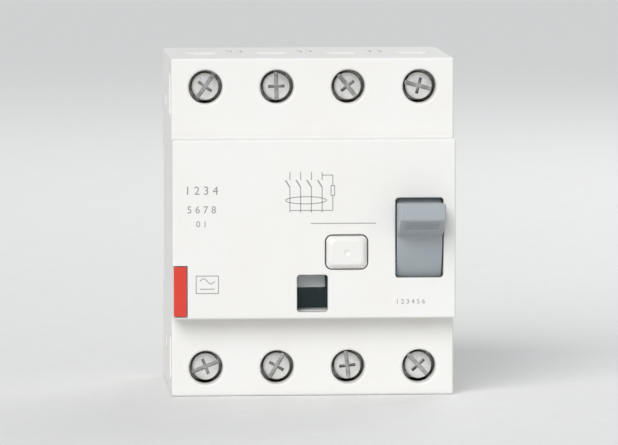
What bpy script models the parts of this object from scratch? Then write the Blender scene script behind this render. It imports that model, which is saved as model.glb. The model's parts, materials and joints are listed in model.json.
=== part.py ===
"""Four-pole residual current device for a 35 mm DIN rail.

The frame: +X to the right, +Z up and the front towards -Y.  The origin is the
middle of the seat that lies on the rail's front face.  All named sizes are in
millimetres, and every mesh is scaled to metres as it is made.
"""

import math

import bmesh
import bpy
from mathutils import Vector

MM = 0.001

# ---------------------------------------------------------------- driving sizes
POLES = 4
MODULE_PITCH = 18.0
SIDE_GAP = 0.3
HEIGHT = 85.5
SHOULDER_DEPTH = 44.0
NOSE_DEPTH = 50.0
NOSE_HEIGHT = 45.2
FOOT_DEPTH = 5.5
PARTING_DEPTH = 28.0
WALL = 2.0
EDGE_RADIUS = 0.6
RIB = 1.6
PIECE_GAP = 0.3

RAIL_HEIGHT = 35.0
RAIL_LIP = 1.0
RAIL_PLAY = 0.2
HOOK_REACH = 2.4
HOOK_THICK = 2.6
HOOK_WIDTH = 17.0
SEAT_HALF = 15.0
SEAT_RELIEF = 0.4

TERMINAL_INSET = 7.25
SCREW_HEAD_PLAY = 0.8
SCREW_HEAD_R = 3.5
SCREW_HEAD_THICK = 2.8
SCREW_HEAD_SUNK = 3.5
SCREW_SHANK_R = 2.3
SCREW_SLOT = 1.1
SCREW_SLOT_DEEP = 1.5
CHIMNEY_WALL = 1.5
CHIMNEY_LENGTH = 5.8
CAGE_TRAVEL = 4.8
CAGE_WALL = 1.3
CAGE_PLATE = 2.0
CAGE_LENGTH = 9.0
CAGE_TAB_ROOM = 4.6
CONDUCTOR_WIDTH = 7.8
CONDUCTOR_HEIGHT = 8.0
TAB_WIDTH = 6.4
TAB_THICK = 1.5
TAB_SHORT = 0.95
LOAD_TAB_LENGTH_IN = 5.0
ENTRY_SIDE_STEP = 0.2
ENTRY_CORNER = 1.6

PLATE_THICK = 1.5
PLATE_Z = 26.0

TOGGLE_X = 26.5
TOGGLE_Z = -2.3
TOGGLE_WINDOW_WIDTH = 12.1
TOGGLE_WINDOW_HEIGHT = 20.2
TOGGLE_SIDE_PLAY = 0.3
TOGGLE_PIVOT_DEPTH = 32.5
TOGGLE_DRUM_R = 18.1
TOGGLE_SKIRT = 1.8
TOGGLE_TIP_R = 28.5
TOGGLE_TIP_THICK = 4.4
TOGGLE_ON_ANGLE = 15.0
TOGGLE_SKIRT_DOWN = 50.0
TOGGLE_SKIRT_UP = 54.0
TOGGLE_HUB_R = 2.4
TOGGLE_PIN_R = 1.2
TOGGLE_GRIP_HALF = 14.0
TOGGLE_SPOKE_HALF = 11.0
BRACKET_SHEET = 1.2
BRACKET_FRONT_ROOM = 5.0
BRACKET_BELOW = 13.5
BRACKET_ABOVE = 14.0
BRACKET_WINDOW_HALF = 8.0
CRANK_R = 6.0
LINK_X = 22.5
LINK_HALF = 0.9
LINK_END_R = 2.0
LINK_SLOT_BEFORE = 0.6
LINK_SLOT_AFTER = 1.6

SHAFT_DEPTH = 13.0
SHAFT_Z = 6.0
SHAFT_R = 4.0
JOURNAL_R = 2.0
SHAFT_CRANK_R = 8.0
CRANK_PIN_R = 1.0
CRANK_ARM_HALF = 1.5
ARM_WIDTH = 4.0
ARM_THICK = 1.5
ARM_REACH = 15.8
ARM_TAIL = 7.0
ARM_ANGLE = 35.8
CONTACT_R = 2.3
CONTACT_Z = 17.5
CONTACT_PAD = 1.3

BUTTON_X = 8.1
BUTTON_Z = -5.8
BUTTON_WIDTH = 10.9
BUTTON_HEIGHT = 8.9
BUTTON_CORNER = 1.8
BUTTON_PROUD = 1.2
BUTTON_LAND_WIDTH = 7.0
BUTTON_LAND_HEIGHT = 5.5
BUTTON_FLANGE = 1.0
BUTTON_STEM_R = 2.0
BUTTON_FLANGE_THICK = 1.2
SPRING_SEAT = 37.5
STEM_END = -36.2
LEAF_FRONT = -33.5
LEAF_THICK = 0.5
LEAF_HALF = 1.4
RESISTOR_R = 1.9
RESISTOR_Z = -15.0
LEAD_R = 0.35

WINDOW_X = -0.5
WINDOW_Z = -16.2
WINDOW_WIDTH = 7.8
WINDOW_HEIGHT = 9.4
WINDOW_CORNER = 0.8
FLAG_DEPTH = 43.9
FLAG_SHOWN = 3.7
FLAG_THICK = 1.2
FLAG_STEM_HALF = 1.5
FLAG_STEM_END = -34.0
GUIDE_FRONT = -40.5
GUIDE_WALL = 1.2
LENS_RIM_HALF = 4.9
LENS_SUNK = 0.5

MARKER_WIDTH = 3.5
MARKER_LOW = -21.8
MARKER_HIGH = -9.3
MARKER_THICK = 0.6

TOROID_Z = -12.5
TOROID_DEPTH = 14.0
TOROID_BORE_R = 5.0
TOROID_OUTER_R = 9.8
TOROID_HEIGHT = 9.6
WINDING_WALL = 0.9
WIRE_R = 1.3
WIRE_SPREAD = 1.9

RELAY_X = -21.0
RELAY_DEPTH = 39.5
COIL_R = 5.2
COIL_FLANGE_R = 6.4
COIL_LOW = -9.0
COIL_HIGH = 6.0
COIL_FLANGE = 1.2
PLUNGER_R = 2.0
PLUNGER_TOP = 13.3
YOKE_THICK = 1.5

TRIP_DEPTH = 34.0
TRIP_Z = 15.0
TRIP_R = 1.6
LATCH_X = 17.5
LATCH_DEPTH = 34.0
LATCH_Z = 4.0

FASTENER_INSET = 5.5
FASTENER_R = 1.4
FASTENER_HEAD_R = 2.6
FASTENER_HEAD_THICK = 1.8
FASTENER_REACH = 34.5
BOSS_R = 3.0

CLIP_HALF_WIDTH = 10.7
CLIP_NECK_HALF_WIDTH = 7.7
CLIP_FLANGE = 1.6
CLIP_REACH = 2.2
CLIP_SHORT = 0.5
CLIP_SPRING_LENGTH = 8.0
CLIP_WINDOW_HALF = 2.4
CLIP_WINDOW_DROP = 6.3
CLIP_WINDOW_ROOM = 3.2
CLIP_SLOT_HALF = 3.0
CLIP_SLOT_LOW = 1.6
CLIP_SLOT_HIGH = 3.4
CLIP_SPRING_R = 1.3
STUB_HALF = 1.6
SPRING_WIRE_R = 0.35

# ---------------------------------------------------------------- derived places
HALF_WIDTH = POLES * MODULE_PITCH / 2 - SIDE_GAP
INNER_X = HALF_WIDTH - WALL
HALF_HEIGHT = HEIGHT / 2
NOSE_HALF = NOSE_HEIGHT / 2
TERMINAL_Z = HALF_HEIGHT - TERMINAL_INSET
FASTENER_Z = TERMINAL_Z - FASTENER_INSET
SCREW_HOLE_R = SCREW_HEAD_R + SCREW_HEAD_PLAY
BAY_END = HALF_HEIGHT - WALL
BAY_START = PLATE_Z - WALL
POLE_X = [(index - (POLES - 1) / 2) * MODULE_PITCH for index in range(POLES)]
RIB_X = [(index - POLES / 2) * MODULE_PITCH for index in range(1, POLES)]
CHANNEL_HALF = RAIL_HEIGHT / 2 + RAIL_PLAY
HOOK_Y = RAIL_LIP + PIECE_GAP

COVER_BACK = -PARTING_DEPTH - PIECE_GAP
PLATE_BACK = COVER_BACK
PLATE_FRONT = PLATE_BACK - PLATE_THICK
SEAT_Y = PLATE_FRONT - PIECE_GAP

HEAD_FRONT = -SHOULDER_DEPTH + SCREW_HEAD_SUNK
HEAD_BACK = HEAD_FRONT + SCREW_HEAD_THICK
CAGE_FRONT = HEAD_BACK + CAGE_TRAVEL + 2 * PIECE_GAP
CAGE_HOLLOW_FRONT = CAGE_FRONT + CAGE_PLATE + 0.2
CAGE_HOLLOW_BACK = CAGE_HOLLOW_FRONT + CAGE_TAB_ROOM + CONDUCTOR_HEIGHT
CAGE_BACK = CAGE_HOLLOW_BACK + CAGE_PLATE
TAB_BACK = CAGE_HOLLOW_BACK - CONDUCTOR_HEIGHT
TAB_FRONT = TAB_BACK - TAB_THICK
SCREW_TIP = TAB_FRONT - PIECE_GAP
TAB_END = BAY_END - TAB_SHORT
ENTRY_WIDTH = CONDUCTOR_WIDTH - 2 * ENTRY_SIDE_STEP
ENTRY_HEIGHT = CONDUCTOR_HEIGHT - 2 * PIECE_GAP
ENTRY_Y = TAB_BACK + PIECE_GAP + ENTRY_HEIGHT / 2

TOGGLE_PIVOT = (-TOGGLE_PIVOT_DEPTH, TOGGLE_Z)
TOGGLE_HALF_WIDTH = TOGGLE_WINDOW_WIDTH / 2 - TOGGLE_SIDE_PLAY
SHAFT = (-SHAFT_DEPTH, SHAFT_Z)
CHEEK_GAP = 0.35

COLOURS = {
    "housing": ((0.90, 0.89, 0.87), 0.45, 0.0),
    "inner_plastic": ((0.16, 0.17, 0.18), 0.5, 0.0),
    "pale_plastic": ((0.78, 0.78, 0.76), 0.5, 0.0),
    "lever_grey": ((0.36, 0.39, 0.41), 0.42, 0.0),
    "clear": ((0.85, 0.90, 0.92), 0.08, 0.0),
    "flag_grey": ((0.60, 0.62, 0.63), 0.5, 0.0),
    "marker_red": ((0.75, 0.05, 0.03), 0.5, 0.0),
    "zinc_steel": ((0.62, 0.63, 0.64), 0.3, 1.0),
    "copper": ((0.72, 0.36, 0.20), 0.32, 1.0),
    "wire_sleeve": ((0.10, 0.22, 0.45), 0.5, 0.0),
    "enamel_winding": ((0.45, 0.16, 0.05), 0.35, 0.2),
    "ferrite": ((0.08, 0.08, 0.09), 0.6, 0.1),
    "resistor": ((0.55, 0.43, 0.28), 0.5, 0.0),
    "clip_black": ((0.03, 0.03, 0.035), 0.5, 0.0),
}


# ---------------------------------------------------------------- tools
def clear_scene():
    """Remove every object that is already there."""
    for obj in list(bpy.data.objects):
        bpy.data.objects.remove(obj, do_unlink=True)


def material(kind):
    """Return the Principled material for one finish, made once."""
    found = bpy.data.materials.get(kind)
    if found:
        return found
    colour, roughness, metallic = COLOURS[kind]
    made = bpy.data.materials.new(kind)
    made.use_nodes = True
    shader = made.node_tree.nodes["Principled BSDF"]
    shader.inputs["Base Color"].default_value = (*colour, 1.0)
    shader.inputs["Roughness"].default_value = roughness
    shader.inputs["Metallic"].default_value = metallic
    return made


def add_object(name, bm, finish=None, smooth=None):
    """Turn a bmesh in millimetres into an object in metres."""
    bmesh.ops.recalc_face_normals(bm, faces=bm.faces[:])
    bmesh.ops.scale(bm, vec=(MM, MM, MM), verts=bm.verts[:])
    mesh = bpy.data.meshes.new(name)
    bm.to_mesh(mesh)
    bm.free()
    if smooth:
        mesh.shade_smooth()
        mesh.set_sharp_from_angle(angle=math.radians(smooth))
    obj = bpy.data.objects.new(name, mesh)
    bpy.context.scene.collection.objects.link(obj)
    if finish:
        own = material(finish).copy()
        own.name = name + "_" + finish
        mesh.materials.append(own)
    return obj


def place(axis, first, second, along):
    """Put a point of an outline that is drawn across the given axis."""
    if axis == "X":
        return Vector((along, first, second))
    if axis == "Y":
        return Vector((first, along, second))
    return Vector((first, second, along))


def add_prism(bm, outline, axis, low, high):
    """Extrude a closed outline along an axis, from low to high."""
    ends = []
    for along in (low, high):
        ends.append([bm.verts.new(place(axis, a, b, along)) for a, b in outline])
    count = len(outline)
    bm.faces.new(ends[0])
    bm.faces.new(ends[1])
    for index in range(count):
        after = (index + 1) % count
        bm.faces.new((ends[0][index], ends[0][after], ends[1][after], ends[1][index]))


def prism(name, outline, axis, low, high, finish=None, smooth=None):
    """Make one extruded object."""
    bm = bmesh.new()
    add_prism(bm, outline, axis, low, high)
    return add_object(name, bm, finish, smooth)


def boxes(name, corners, finish=None):
    """Make one object from (low, high) corner pairs that don't touch."""
    bm = bmesh.new()
    for low, high in corners:
        outline = rectangle(low[0], high[0], low[1], high[1])
        add_prism(bm, outline, "Z", low[2], high[2])
    return add_object(name, bm, finish)


def rectangle(a_low, a_high, b_low, b_high):
    """Outline of a rectangle."""
    return [(a_low, b_low), (a_high, b_low), (a_high, b_high), (a_low, b_high)]


def circle(centre, radius, sides=24, turn=0.0):
    """Outline of a circle."""
    points = []
    for index in range(sides):
        angle = 2 * math.pi * index / sides + turn
        points.append((centre[0] + radius * math.cos(angle), centre[1] + radius * math.sin(angle)))
    return points


def arc(centre, radius, start, end, steps):
    """Points on an arc; angles in degrees from the front (-Y) towards +Z."""
    points = []
    for index in range(steps + 1):
        angle = math.radians(start + (end - start) * index / steps)
        first = centre[0] - radius * math.cos(angle)
        points.append((first, centre[1] + radius * math.sin(angle)))
    return points


def rounded(centre, width, height, radius, steps=4):
    """Outline of a rectangle with round corners."""
    points = []
    corners = ((1, 1, 0), (-1, 1, 90), (-1, -1, 180), (1, -1, 270))
    for side_a, side_b, start in corners:
        middle_a = centre[0] + side_a * (width / 2 - radius)
        middle_b = centre[1] + side_b * (height / 2 - radius)
        for index in range(steps + 1):
            angle = math.radians(start + 90 * index / steps)
            points.append((middle_a + radius * math.cos(angle), middle_b + radius * math.sin(angle)))
    return points


def cylinders(name, centres, radius, axis, low, high, sides=24, finish=None):
    """Make one object from cylinders that don't touch."""
    bm = bmesh.new()
    for centre in centres:
        add_prism(bm, circle(centre, radius, sides), axis, low, high)
    return add_object(name, bm, finish, 40)


def boolean(obj, other, operation):
    """Cut or join with a helper object that is not a piece itself."""
    other.hide_render = True
    other.display_type = "WIRE"
    modifier = obj.modifiers.new(other.name, "BOOLEAN")
    modifier.operation = operation
    modifier.solver = "EXACT"
    modifier.object = other


def cut(obj, *cutters):
    """Cut helper objects away."""
    for cutter in cutters:
        boolean(obj, cutter, "DIFFERENCE")


def join(obj, *pieces):
    """Grow an object by helper objects that overlap it."""
    for piece in pieces:
        boolean(obj, piece, "UNION")


def soften(obj, width, segments=2):
    """Round the sharp edges."""
    bevel = obj.modifiers.new("edges", "BEVEL")
    bevel.width = width * MM
    bevel.segments = segments
    bevel.limit_method = "ANGLE"
    bevel.angle_limit = math.radians(40)


def set_origin(obj, point, holder=None):
    """Move the origin to a point in millimetres, with the mesh left where it is."""
    target = Vector(point) * MM
    for vertex in obj.data.vertices:
        vertex.co -= target
    if holder:
        obj.parent = holder
    else:
        obj.location = target


def pivot(name, point):
    """Make the empty that stands on a joint's axis."""
    empty = bpy.data.objects.new(name, None)
    empty.location = Vector(point) * MM
    empty.empty_display_size = 5 * MM
    bpy.context.scene.collection.objects.link(empty)
    return empty


def turned(points, angle, centre):
    """Turn outline points about a centre, front towards top for a positive angle."""
    cosine = math.cos(math.radians(-angle))
    sine = math.sin(math.radians(-angle))
    result = []
    for first, second in points:
        a = first - centre[0]
        b = second - centre[1]
        result.append((centre[0] + a * cosine - b * sine, centre[1] + a * sine + b * cosine))
    return result


def smooth_path(points, steps=4):
    """Read points from one smooth curve through the route's own points."""
    route = [Vector(point) for point in points]
    padded = [route[0] * 2 - route[1]] + route + [route[-1] * 2 - route[-2]]
    result = []
    for index in range(1, len(padded) - 2):
        before, start, end, after = padded[index - 1:index + 3]
        for step in range(steps):
            t = step / steps
            bend = 2 * before - 5 * start + 4 * end - after
            twist = 3 * start - before - 3 * end + after
            result.append(0.5 * (2 * start + (end - before) * t + bend * t * t + twist * t ** 3))
    result.append(route[-1])
    return result


def tube_mesh(bm, path, radius, sides):
    """Sweep a round section along a path and close both ends."""
    tangent = (path[1] - path[0]).normalized()
    across = tangent.orthogonal().normalized()
    rings = []
    for index, point in enumerate(path):
        before = path[max(index - 1, 0)]
        after = path[min(index + 1, len(path) - 1)]
        direction = (after - before).normalized()
        across = (across - direction * across.dot(direction)).normalized()
        upright = direction.cross(across)
        ring = []
        for side in range(sides):
            angle = 2 * math.pi * side / sides
            offset = across * math.cos(angle) + upright * math.sin(angle)
            ring.append(bm.verts.new(point + offset * radius))
        rings.append(ring)
    for first, second in zip(rings, rings[1:]):
        for side in range(sides):
            after = (side + 1) % sides
            bm.faces.new((first[side], first[after], second[after], second[side]))
    bm.faces.new(rings[0])
    bm.faces.new(rings[-1])


def tube(name, path, radius, sides=8, finish=None):
    """Make a wire or rod along a path."""
    bm = bmesh.new()
    tube_mesh(bm, path, radius, sides)
    return add_object(name, bm, finish, 50)


def coil_path(start, axis, length, radius, turns, steps=9):
    """Points along a helix that starts at a point and runs along an axis."""
    direction = {"Y": Vector((0, 1, 0)), "Z": Vector((0, 0, 1))}[axis]
    side = {"Y": Vector((0, 0, 1)), "Z": Vector((1, 0, 0))}[axis]
    other = direction.cross(side)
    count = int(turns * steps)
    points = []
    for index in range(count + 1):
        angle = 2 * math.pi * index / steps
        around = side * math.cos(angle) + other * math.sin(angle)
        points.append(Vector(start) + direction * length * index / count + around * radius)
    return points


# ---------------------------------------------------------------- housing
def hollow_outline():
    """Outline of the hollow: a wide middle and one bay for each pole at both ends."""
    points = []
    edges = [-INNER_X] + [x for rib in RIB_X for x in (rib - RIB / 2, rib + RIB / 2)] + [INNER_X]
    bays = [(edges[index], edges[index + 1]) for index in range(0, len(edges), 2)]
    for left, right in bays:
        points += [(left, BAY_START), (left, BAY_END), (right, BAY_END), (right, BAY_START)]
    for left, right in reversed(bays):
        points += [(right, -BAY_START), (right, -BAY_END), (left, -BAY_END), (left, -BAY_START)]
    return points


def fastener_centres():
    """Places of the four screws that hold the cover."""
    return [(x, z) for z in (FASTENER_Z, -FASTENER_Z) for x in (RIB_X[0], RIB_X[-1])]


def terminal_centres():
    """Places of the terminal screws, top row first, left to right."""
    return [(x, z) for z in (TERMINAL_Z, -TERMINAL_Z) for x in POLE_X]


def build_rear_housing():
    """The base: bays for the terminals, rail channel, hooks and clip guide."""
    outline = rectangle(-HALF_WIDTH, HALF_WIDTH, -PARTING_DEPTH, FOOT_DEPTH)
    housing = prism("rear_housing", outline, "Z", -HALF_HEIGHT, HALF_HEIGHT, "housing", 40)
    soften(housing, EDGE_RADIUS)
    hollow = prism("cut_base_hollow", hollow_outline(), "Y", -PARTING_DEPTH - 1, -WALL)
    section = [(0, -SEAT_HALF), (0, SEAT_HALF), (-SEAT_RELIEF, SEAT_HALF), (-SEAT_RELIEF, CHANNEL_HALF)]
    section += [(FOOT_DEPTH + 1, CHANNEL_HALF), (FOOT_DEPTH + 1, -CHANNEL_HALF)]
    section += [(-SEAT_RELIEF, -CHANNEL_HALF), (-SEAT_RELIEF, -SEAT_HALF)]
    channel = prism("cut_rail_channel", section, "X", -HALF_WIDTH - 1, HALF_WIDTH + 1)
    cut(housing, hollow, channel)
    hooks = []
    for x in (-MODULE_PITCH, MODULE_PITCH):
        low = (x - HOOK_WIDTH / 2, HOOK_Y, CHANNEL_HALF - HOOK_REACH)
        high = (x + HOOK_WIDTH / 2, HOOK_Y + HOOK_THICK, CHANNEL_HALF + 1)
        hooks.append((low, high))
    bosses = cylinders("add_base_bosses", fastener_centres(), BOSS_R, "Y", -PARTING_DEPTH, -WALL + 0.5, 16)
    join(housing, boxes("add_hooks", hooks), bosses)
    add_entries_and_fasteners(housing)
    add_clip_guide(housing)


def add_entries_and_fasteners(housing):
    """Openings for the conductors and holes for the cover's screws."""
    bm = bmesh.new()
    for x in POLE_X:
        outline = rounded((x, ENTRY_Y), ENTRY_WIDTH, ENTRY_HEIGHT, ENTRY_CORNER, 3)
        add_prism(bm, outline, "Z", BAY_END - 0.5, HALF_HEIGHT + 1)
        add_prism(bm, outline, "Z", -HALF_HEIGHT - 1, -BAY_END + 0.5)
    entries = add_object("cut_wire_entries", bm)
    shank_r = FASTENER_R + PIECE_GAP
    shanks = cylinders("cut_base_shanks", fastener_centres(), shank_r, "Y",
                       -PARTING_DEPTH - 1, FOOT_DEPTH + 1, 16)
    head_r = FASTENER_HEAD_R + PIECE_GAP
    head_floor = FOOT_DEPTH - FASTENER_HEAD_THICK - 2 * PIECE_GAP
    heads = cylinders("cut_base_heads", fastener_centres(), head_r, "Y", head_floor, FOOT_DEPTH + 1, 16)
    cut(housing, entries, shanks, heads)


def add_clip_guide(housing):
    """T-shaped groove for the rail clip, with the stub its spring pushes on."""
    wide = CLIP_HALF_WIDTH + PIECE_GAP
    neck = CLIP_NECK_HALF_WIDTH + PIECE_GAP
    floor = HOOK_Y - PIECE_GAP
    step = HOOK_Y + CLIP_FLANGE + PIECE_GAP
    outline = [(-wide, floor), (wide, floor), (wide, step), (neck, step)]
    outline += [(neck, FOOT_DEPTH + 1), (-neck, FOOT_DEPTH + 1), (-neck, step), (-wide, step)]
    groove = prism("cut_clip_groove", outline, "Z", -HALF_HEIGHT - 1, -CHANNEL_HALF + 1)
    cut(housing, groove)
    stub_top = clip_window()[1] - CLIP_SPRING_LENGTH - 2 * PIECE_GAP
    stub = boxes("add_spring_stub", [
        ((-STUB_HALF, floor - 0.5, stub_top - STUB_HALF), (STUB_HALF, FOOT_DEPTH - 1.1, stub_top)),
    ])
    join(housing, stub)


def clip_window():
    """Lowest and highest Z of the clip's spring window."""
    high = -CHANNEL_HALF - CLIP_WINDOW_DROP
    return high - CLIP_SPRING_LENGTH - CLIP_WINDOW_ROOM, high


def build_front_cover():
    """The front moulding: two terminal shoulders and the raised nose."""
    front = -SHOULDER_DEPTH
    nose = -NOSE_DEPTH
    outline = [(COVER_BACK, -HALF_HEIGHT), (front, -HALF_HEIGHT), (front, -NOSE_HALF), (nose, -NOSE_HALF)]
    outline += [(nose, NOSE_HALF), (front, NOSE_HALF), (front, HALF_HEIGHT), (COVER_BACK, HALF_HEIGHT)]
    cover = prism("front_cover", outline, "X", -HALF_WIDTH, HALF_WIDTH, "housing", 40)
    soften(cover, EDGE_RADIUS)
    hollow = prism("cut_cover_hollow", hollow_outline(), "Y", front + WALL, COVER_BACK + 1)
    nose_hollow = boxes("cut_nose_hollow", [
        ((-INNER_X, nose + WALL, -NOSE_HALF + WALL), (INNER_X, front + WALL + 1, NOSE_HALF - WALL)),
    ])
    seat = boxes("cut_plate_seat", [
        ((-INNER_X, SEAT_Y, -PLATE_Z - PIECE_GAP), (INNER_X, COVER_BACK + 1, PLATE_Z + PIECE_GAP)),
    ])
    cut(cover, hollow, nose_hollow, seat)
    wells = cylinders("add_screw_wells", terminal_centres(), SCREW_HOLE_R + CHIMNEY_WALL, "Y",
                      front + WALL / 2, front + CHIMNEY_LENGTH, 16)
    bosses = cylinders("add_cover_bosses", fastener_centres(), BOSS_R, "Y", front + WALL / 2, COVER_BACK, 16)
    join(cover, wells, bosses)
    holes = cylinders("cut_screw_wells", terminal_centres(), SCREW_HOLE_R, "Y",
                      front - 1, front + CHIMNEY_LENGTH + 1, 16)
    pilots = cylinders("cut_cover_pilots", fastener_centres(), FASTENER_R + PIECE_GAP, "Y",
                       -FASTENER_REACH - 2 * PIECE_GAP, COVER_BACK + 1, 16)
    cut(cover, holes, pilots)
    cut_nose_windows(cover)


def cut_nose_windows(cover):
    """Openings for the lever, the test button, the lens and the marker."""
    inside = -NOSE_DEPTH + WALL + 1
    outside = -NOSE_DEPTH - 1
    bm = bmesh.new()
    lever = rounded((TOGGLE_X, TOGGLE_Z), TOGGLE_WINDOW_WIDTH, TOGGLE_WINDOW_HEIGHT, 0.8, 3)
    add_prism(bm, lever, "Y", outside, inside)
    button = rounded((BUTTON_X, BUTTON_Z), BUTTON_WIDTH, BUTTON_HEIGHT, BUTTON_CORNER)
    add_prism(bm, button, "Y", outside, inside)
    window = rounded((WINDOW_X, WINDOW_Z), WINDOW_WIDTH, WINDOW_HEIGHT, WINDOW_CORNER, 3)
    add_prism(bm, window, "Y", outside, inside)
    low = (-HALF_WIDTH - 1, outside, MARKER_LOW - PIECE_GAP)
    floor = -NOSE_DEPTH + MARKER_THICK + PIECE_GAP
    high = (-HALF_WIDTH + MARKER_WIDTH + PIECE_GAP, floor, MARKER_HIGH + PIECE_GAP)
    outline = rectangle(low[0], high[0], low[1], high[1])
    add_prism(bm, outline, "Z", low[2], high[2])
    cut(cover, add_object("cut_nose_windows", bm))


def build_marker():
    """The plain coloured strip let into the nose's left edge."""
    low = (-HALF_WIDTH + PIECE_GAP, -NOSE_DEPTH, MARKER_LOW)
    high = (-HALF_WIDTH + MARKER_WIDTH, -NOSE_DEPTH + MARKER_THICK, MARKER_HIGH)
    boxes("side_marker", [(low, high)], "marker_red")


def build_fasteners():
    """Four screws from the back that hold the cover to the base."""
    head_back = FOOT_DEPTH - PIECE_GAP
    head_front = head_back - FASTENER_HEAD_THICK
    for number, centre in enumerate(fastener_centres(), start=1):
        name = "housing_screw_" + str(number)
        bm = bmesh.new()
        add_prism(bm, circle(centre, FASTENER_HEAD_R, 16), "Y", head_front, head_back)
        screw = add_object(name, bm, "zinc_steel", 40)
        shank = cylinders("add_shank_" + str(number), [centre], FASTENER_R, "Y",
                          -FASTENER_REACH, head_front + 0.5, 12)
        slot = boxes("cut_slot_" + str(number), [
            ((centre[0] - 2 * FASTENER_HEAD_R, head_back - 0.8, centre[1] - 0.35),
             (centre[0] + 2 * FASTENER_HEAD_R, head_back + 1, centre[1] + 0.35)),
        ])
        join(screw, shank)
        cut(screw, slot)


def build_rail_clip():
    """The sprung slider that holds the rail's lower edge."""
    low = -HALF_HEIGHT + CLIP_SHORT
    top = -CHANNEL_HALF
    window_low, window_high = clip_window()
    front = HOOK_Y
    back = FOOT_DEPTH - PIECE_GAP
    holder = pivot("rail_clip_axis", (0, (front + back) / 2, top))
    flange = rectangle(-CLIP_HALF_WIDTH, CLIP_HALF_WIDTH, front, front + CLIP_FLANGE)
    clip = prism("rail_clip", flange, "Z", low, top - 1.2, "clip_black")
    ramp = [(front, low + 0.2), (back, low + 0.2), (back, top - 0.6), (front + 1.2, top + CLIP_REACH)]
    ramp += [(front, top + CLIP_REACH)]
    tongue = prism("add_clip_tongue", ramp, "X", -CLIP_NECK_HALF_WIDTH, CLIP_NECK_HALF_WIDTH)
    window = boxes("cut_clip_window", [
        ((-CLIP_WINDOW_HALF, front - 1, window_low), (CLIP_WINDOW_HALF, back + 1, window_high)),
    ])
    slot = boxes("cut_clip_slot", [
        ((-CLIP_SLOT_HALF, front - 1, low + CLIP_SLOT_LOW), (CLIP_SLOT_HALF, back + 1, low + CLIP_SLOT_HIGH)),
    ])
    join(clip, tongue)
    cut(clip, window, slot)
    set_origin(clip, (0, (front + back) / 2, top), holder)
    start = (0, (front + back) / 2, window_high - PIECE_GAP - CLIP_SPRING_LENGTH + SPRING_WIRE_R)
    path = coil_path(start, "Z", CLIP_SPRING_LENGTH - 2 * SPRING_WIRE_R, CLIP_SPRING_R, 6)
    tube("clip_spring", path, SPRING_WIRE_R, 6, "zinc_steel")


# ---------------------------------------------------------------- inner plate
def build_inner_frame():
    """The plate that carries the mechanism, with bearings and the button's guide."""
    outline = rectangle(-INNER_X + PIECE_GAP, INNER_X - PIECE_GAP, -PLATE_Z, PLATE_Z)
    plate = prism("inner_frame", outline, "Y", PLATE_FRONT, PLATE_BACK, "inner_plastic")
    bearing_in = INNER_X - PIECE_GAP - 2.0
    bearing_out = INNER_X - PIECE_GAP
    bm = bmesh.new()
    leg = rectangle(PLATE_BACK - 0.5, -SHAFT_DEPTH + JOURNAL_R + 1.6, SHAFT_Z - 2.9, SHAFT_Z + 2.9)
    add_prism(bm, leg, "X", bearing_in, bearing_out)
    add_prism(bm, leg, "X", -bearing_out, -bearing_in)
    legs = add_object("add_bearing_legs", bm)
    guide = cylinders("add_button_guide", [(BUTTON_X, BUTTON_Z)], BUTTON_STEM_R + 2.0, "Y",
                      -SPRING_SEAT, PLATE_FRONT + 0.5, 20)
    join(plate, legs, guide)
    journals = cylinders("cut_journals", [SHAFT], JOURNAL_R + PIECE_GAP, "X", -INNER_X - 1, INNER_X + 1, 16)
    bore = cylinders("cut_button_guide", [(BUTTON_X, BUTTON_Z)], BUTTON_STEM_R + 0.4, "Y",
                     -SPRING_SEAT - 1, PLATE_FRONT - 1.0, 20)
    slot = boxes("cut_leaf_slot", [
        ((BUTTON_X - 6, LEAF_FRONT - 0.7, BUTTON_Z - LEAF_HALF - 0.4),
         (BUTTON_X + 6, PLATE_FRONT - 1.0, BUTTON_Z + LEAF_HALF + 0.4)),
    ])
    openings = boxes("cut_plate_openings", [
        ((21.0, PLATE_FRONT - 1, TOGGLE_Z - 7.5), (30.6, PLATE_BACK + 1, TOGGLE_Z + 7.5)),
        ((-12.0, PLATE_FRONT - 1, 2.0), (-4.0, PLATE_BACK + 1, 12.0)),
        ((-30.0, PLATE_FRONT - 1, -20.0), (-22.0, PLATE_BACK + 1, -15.0)),
    ])
    cut(plate, journals, bore, slot, openings)


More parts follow.
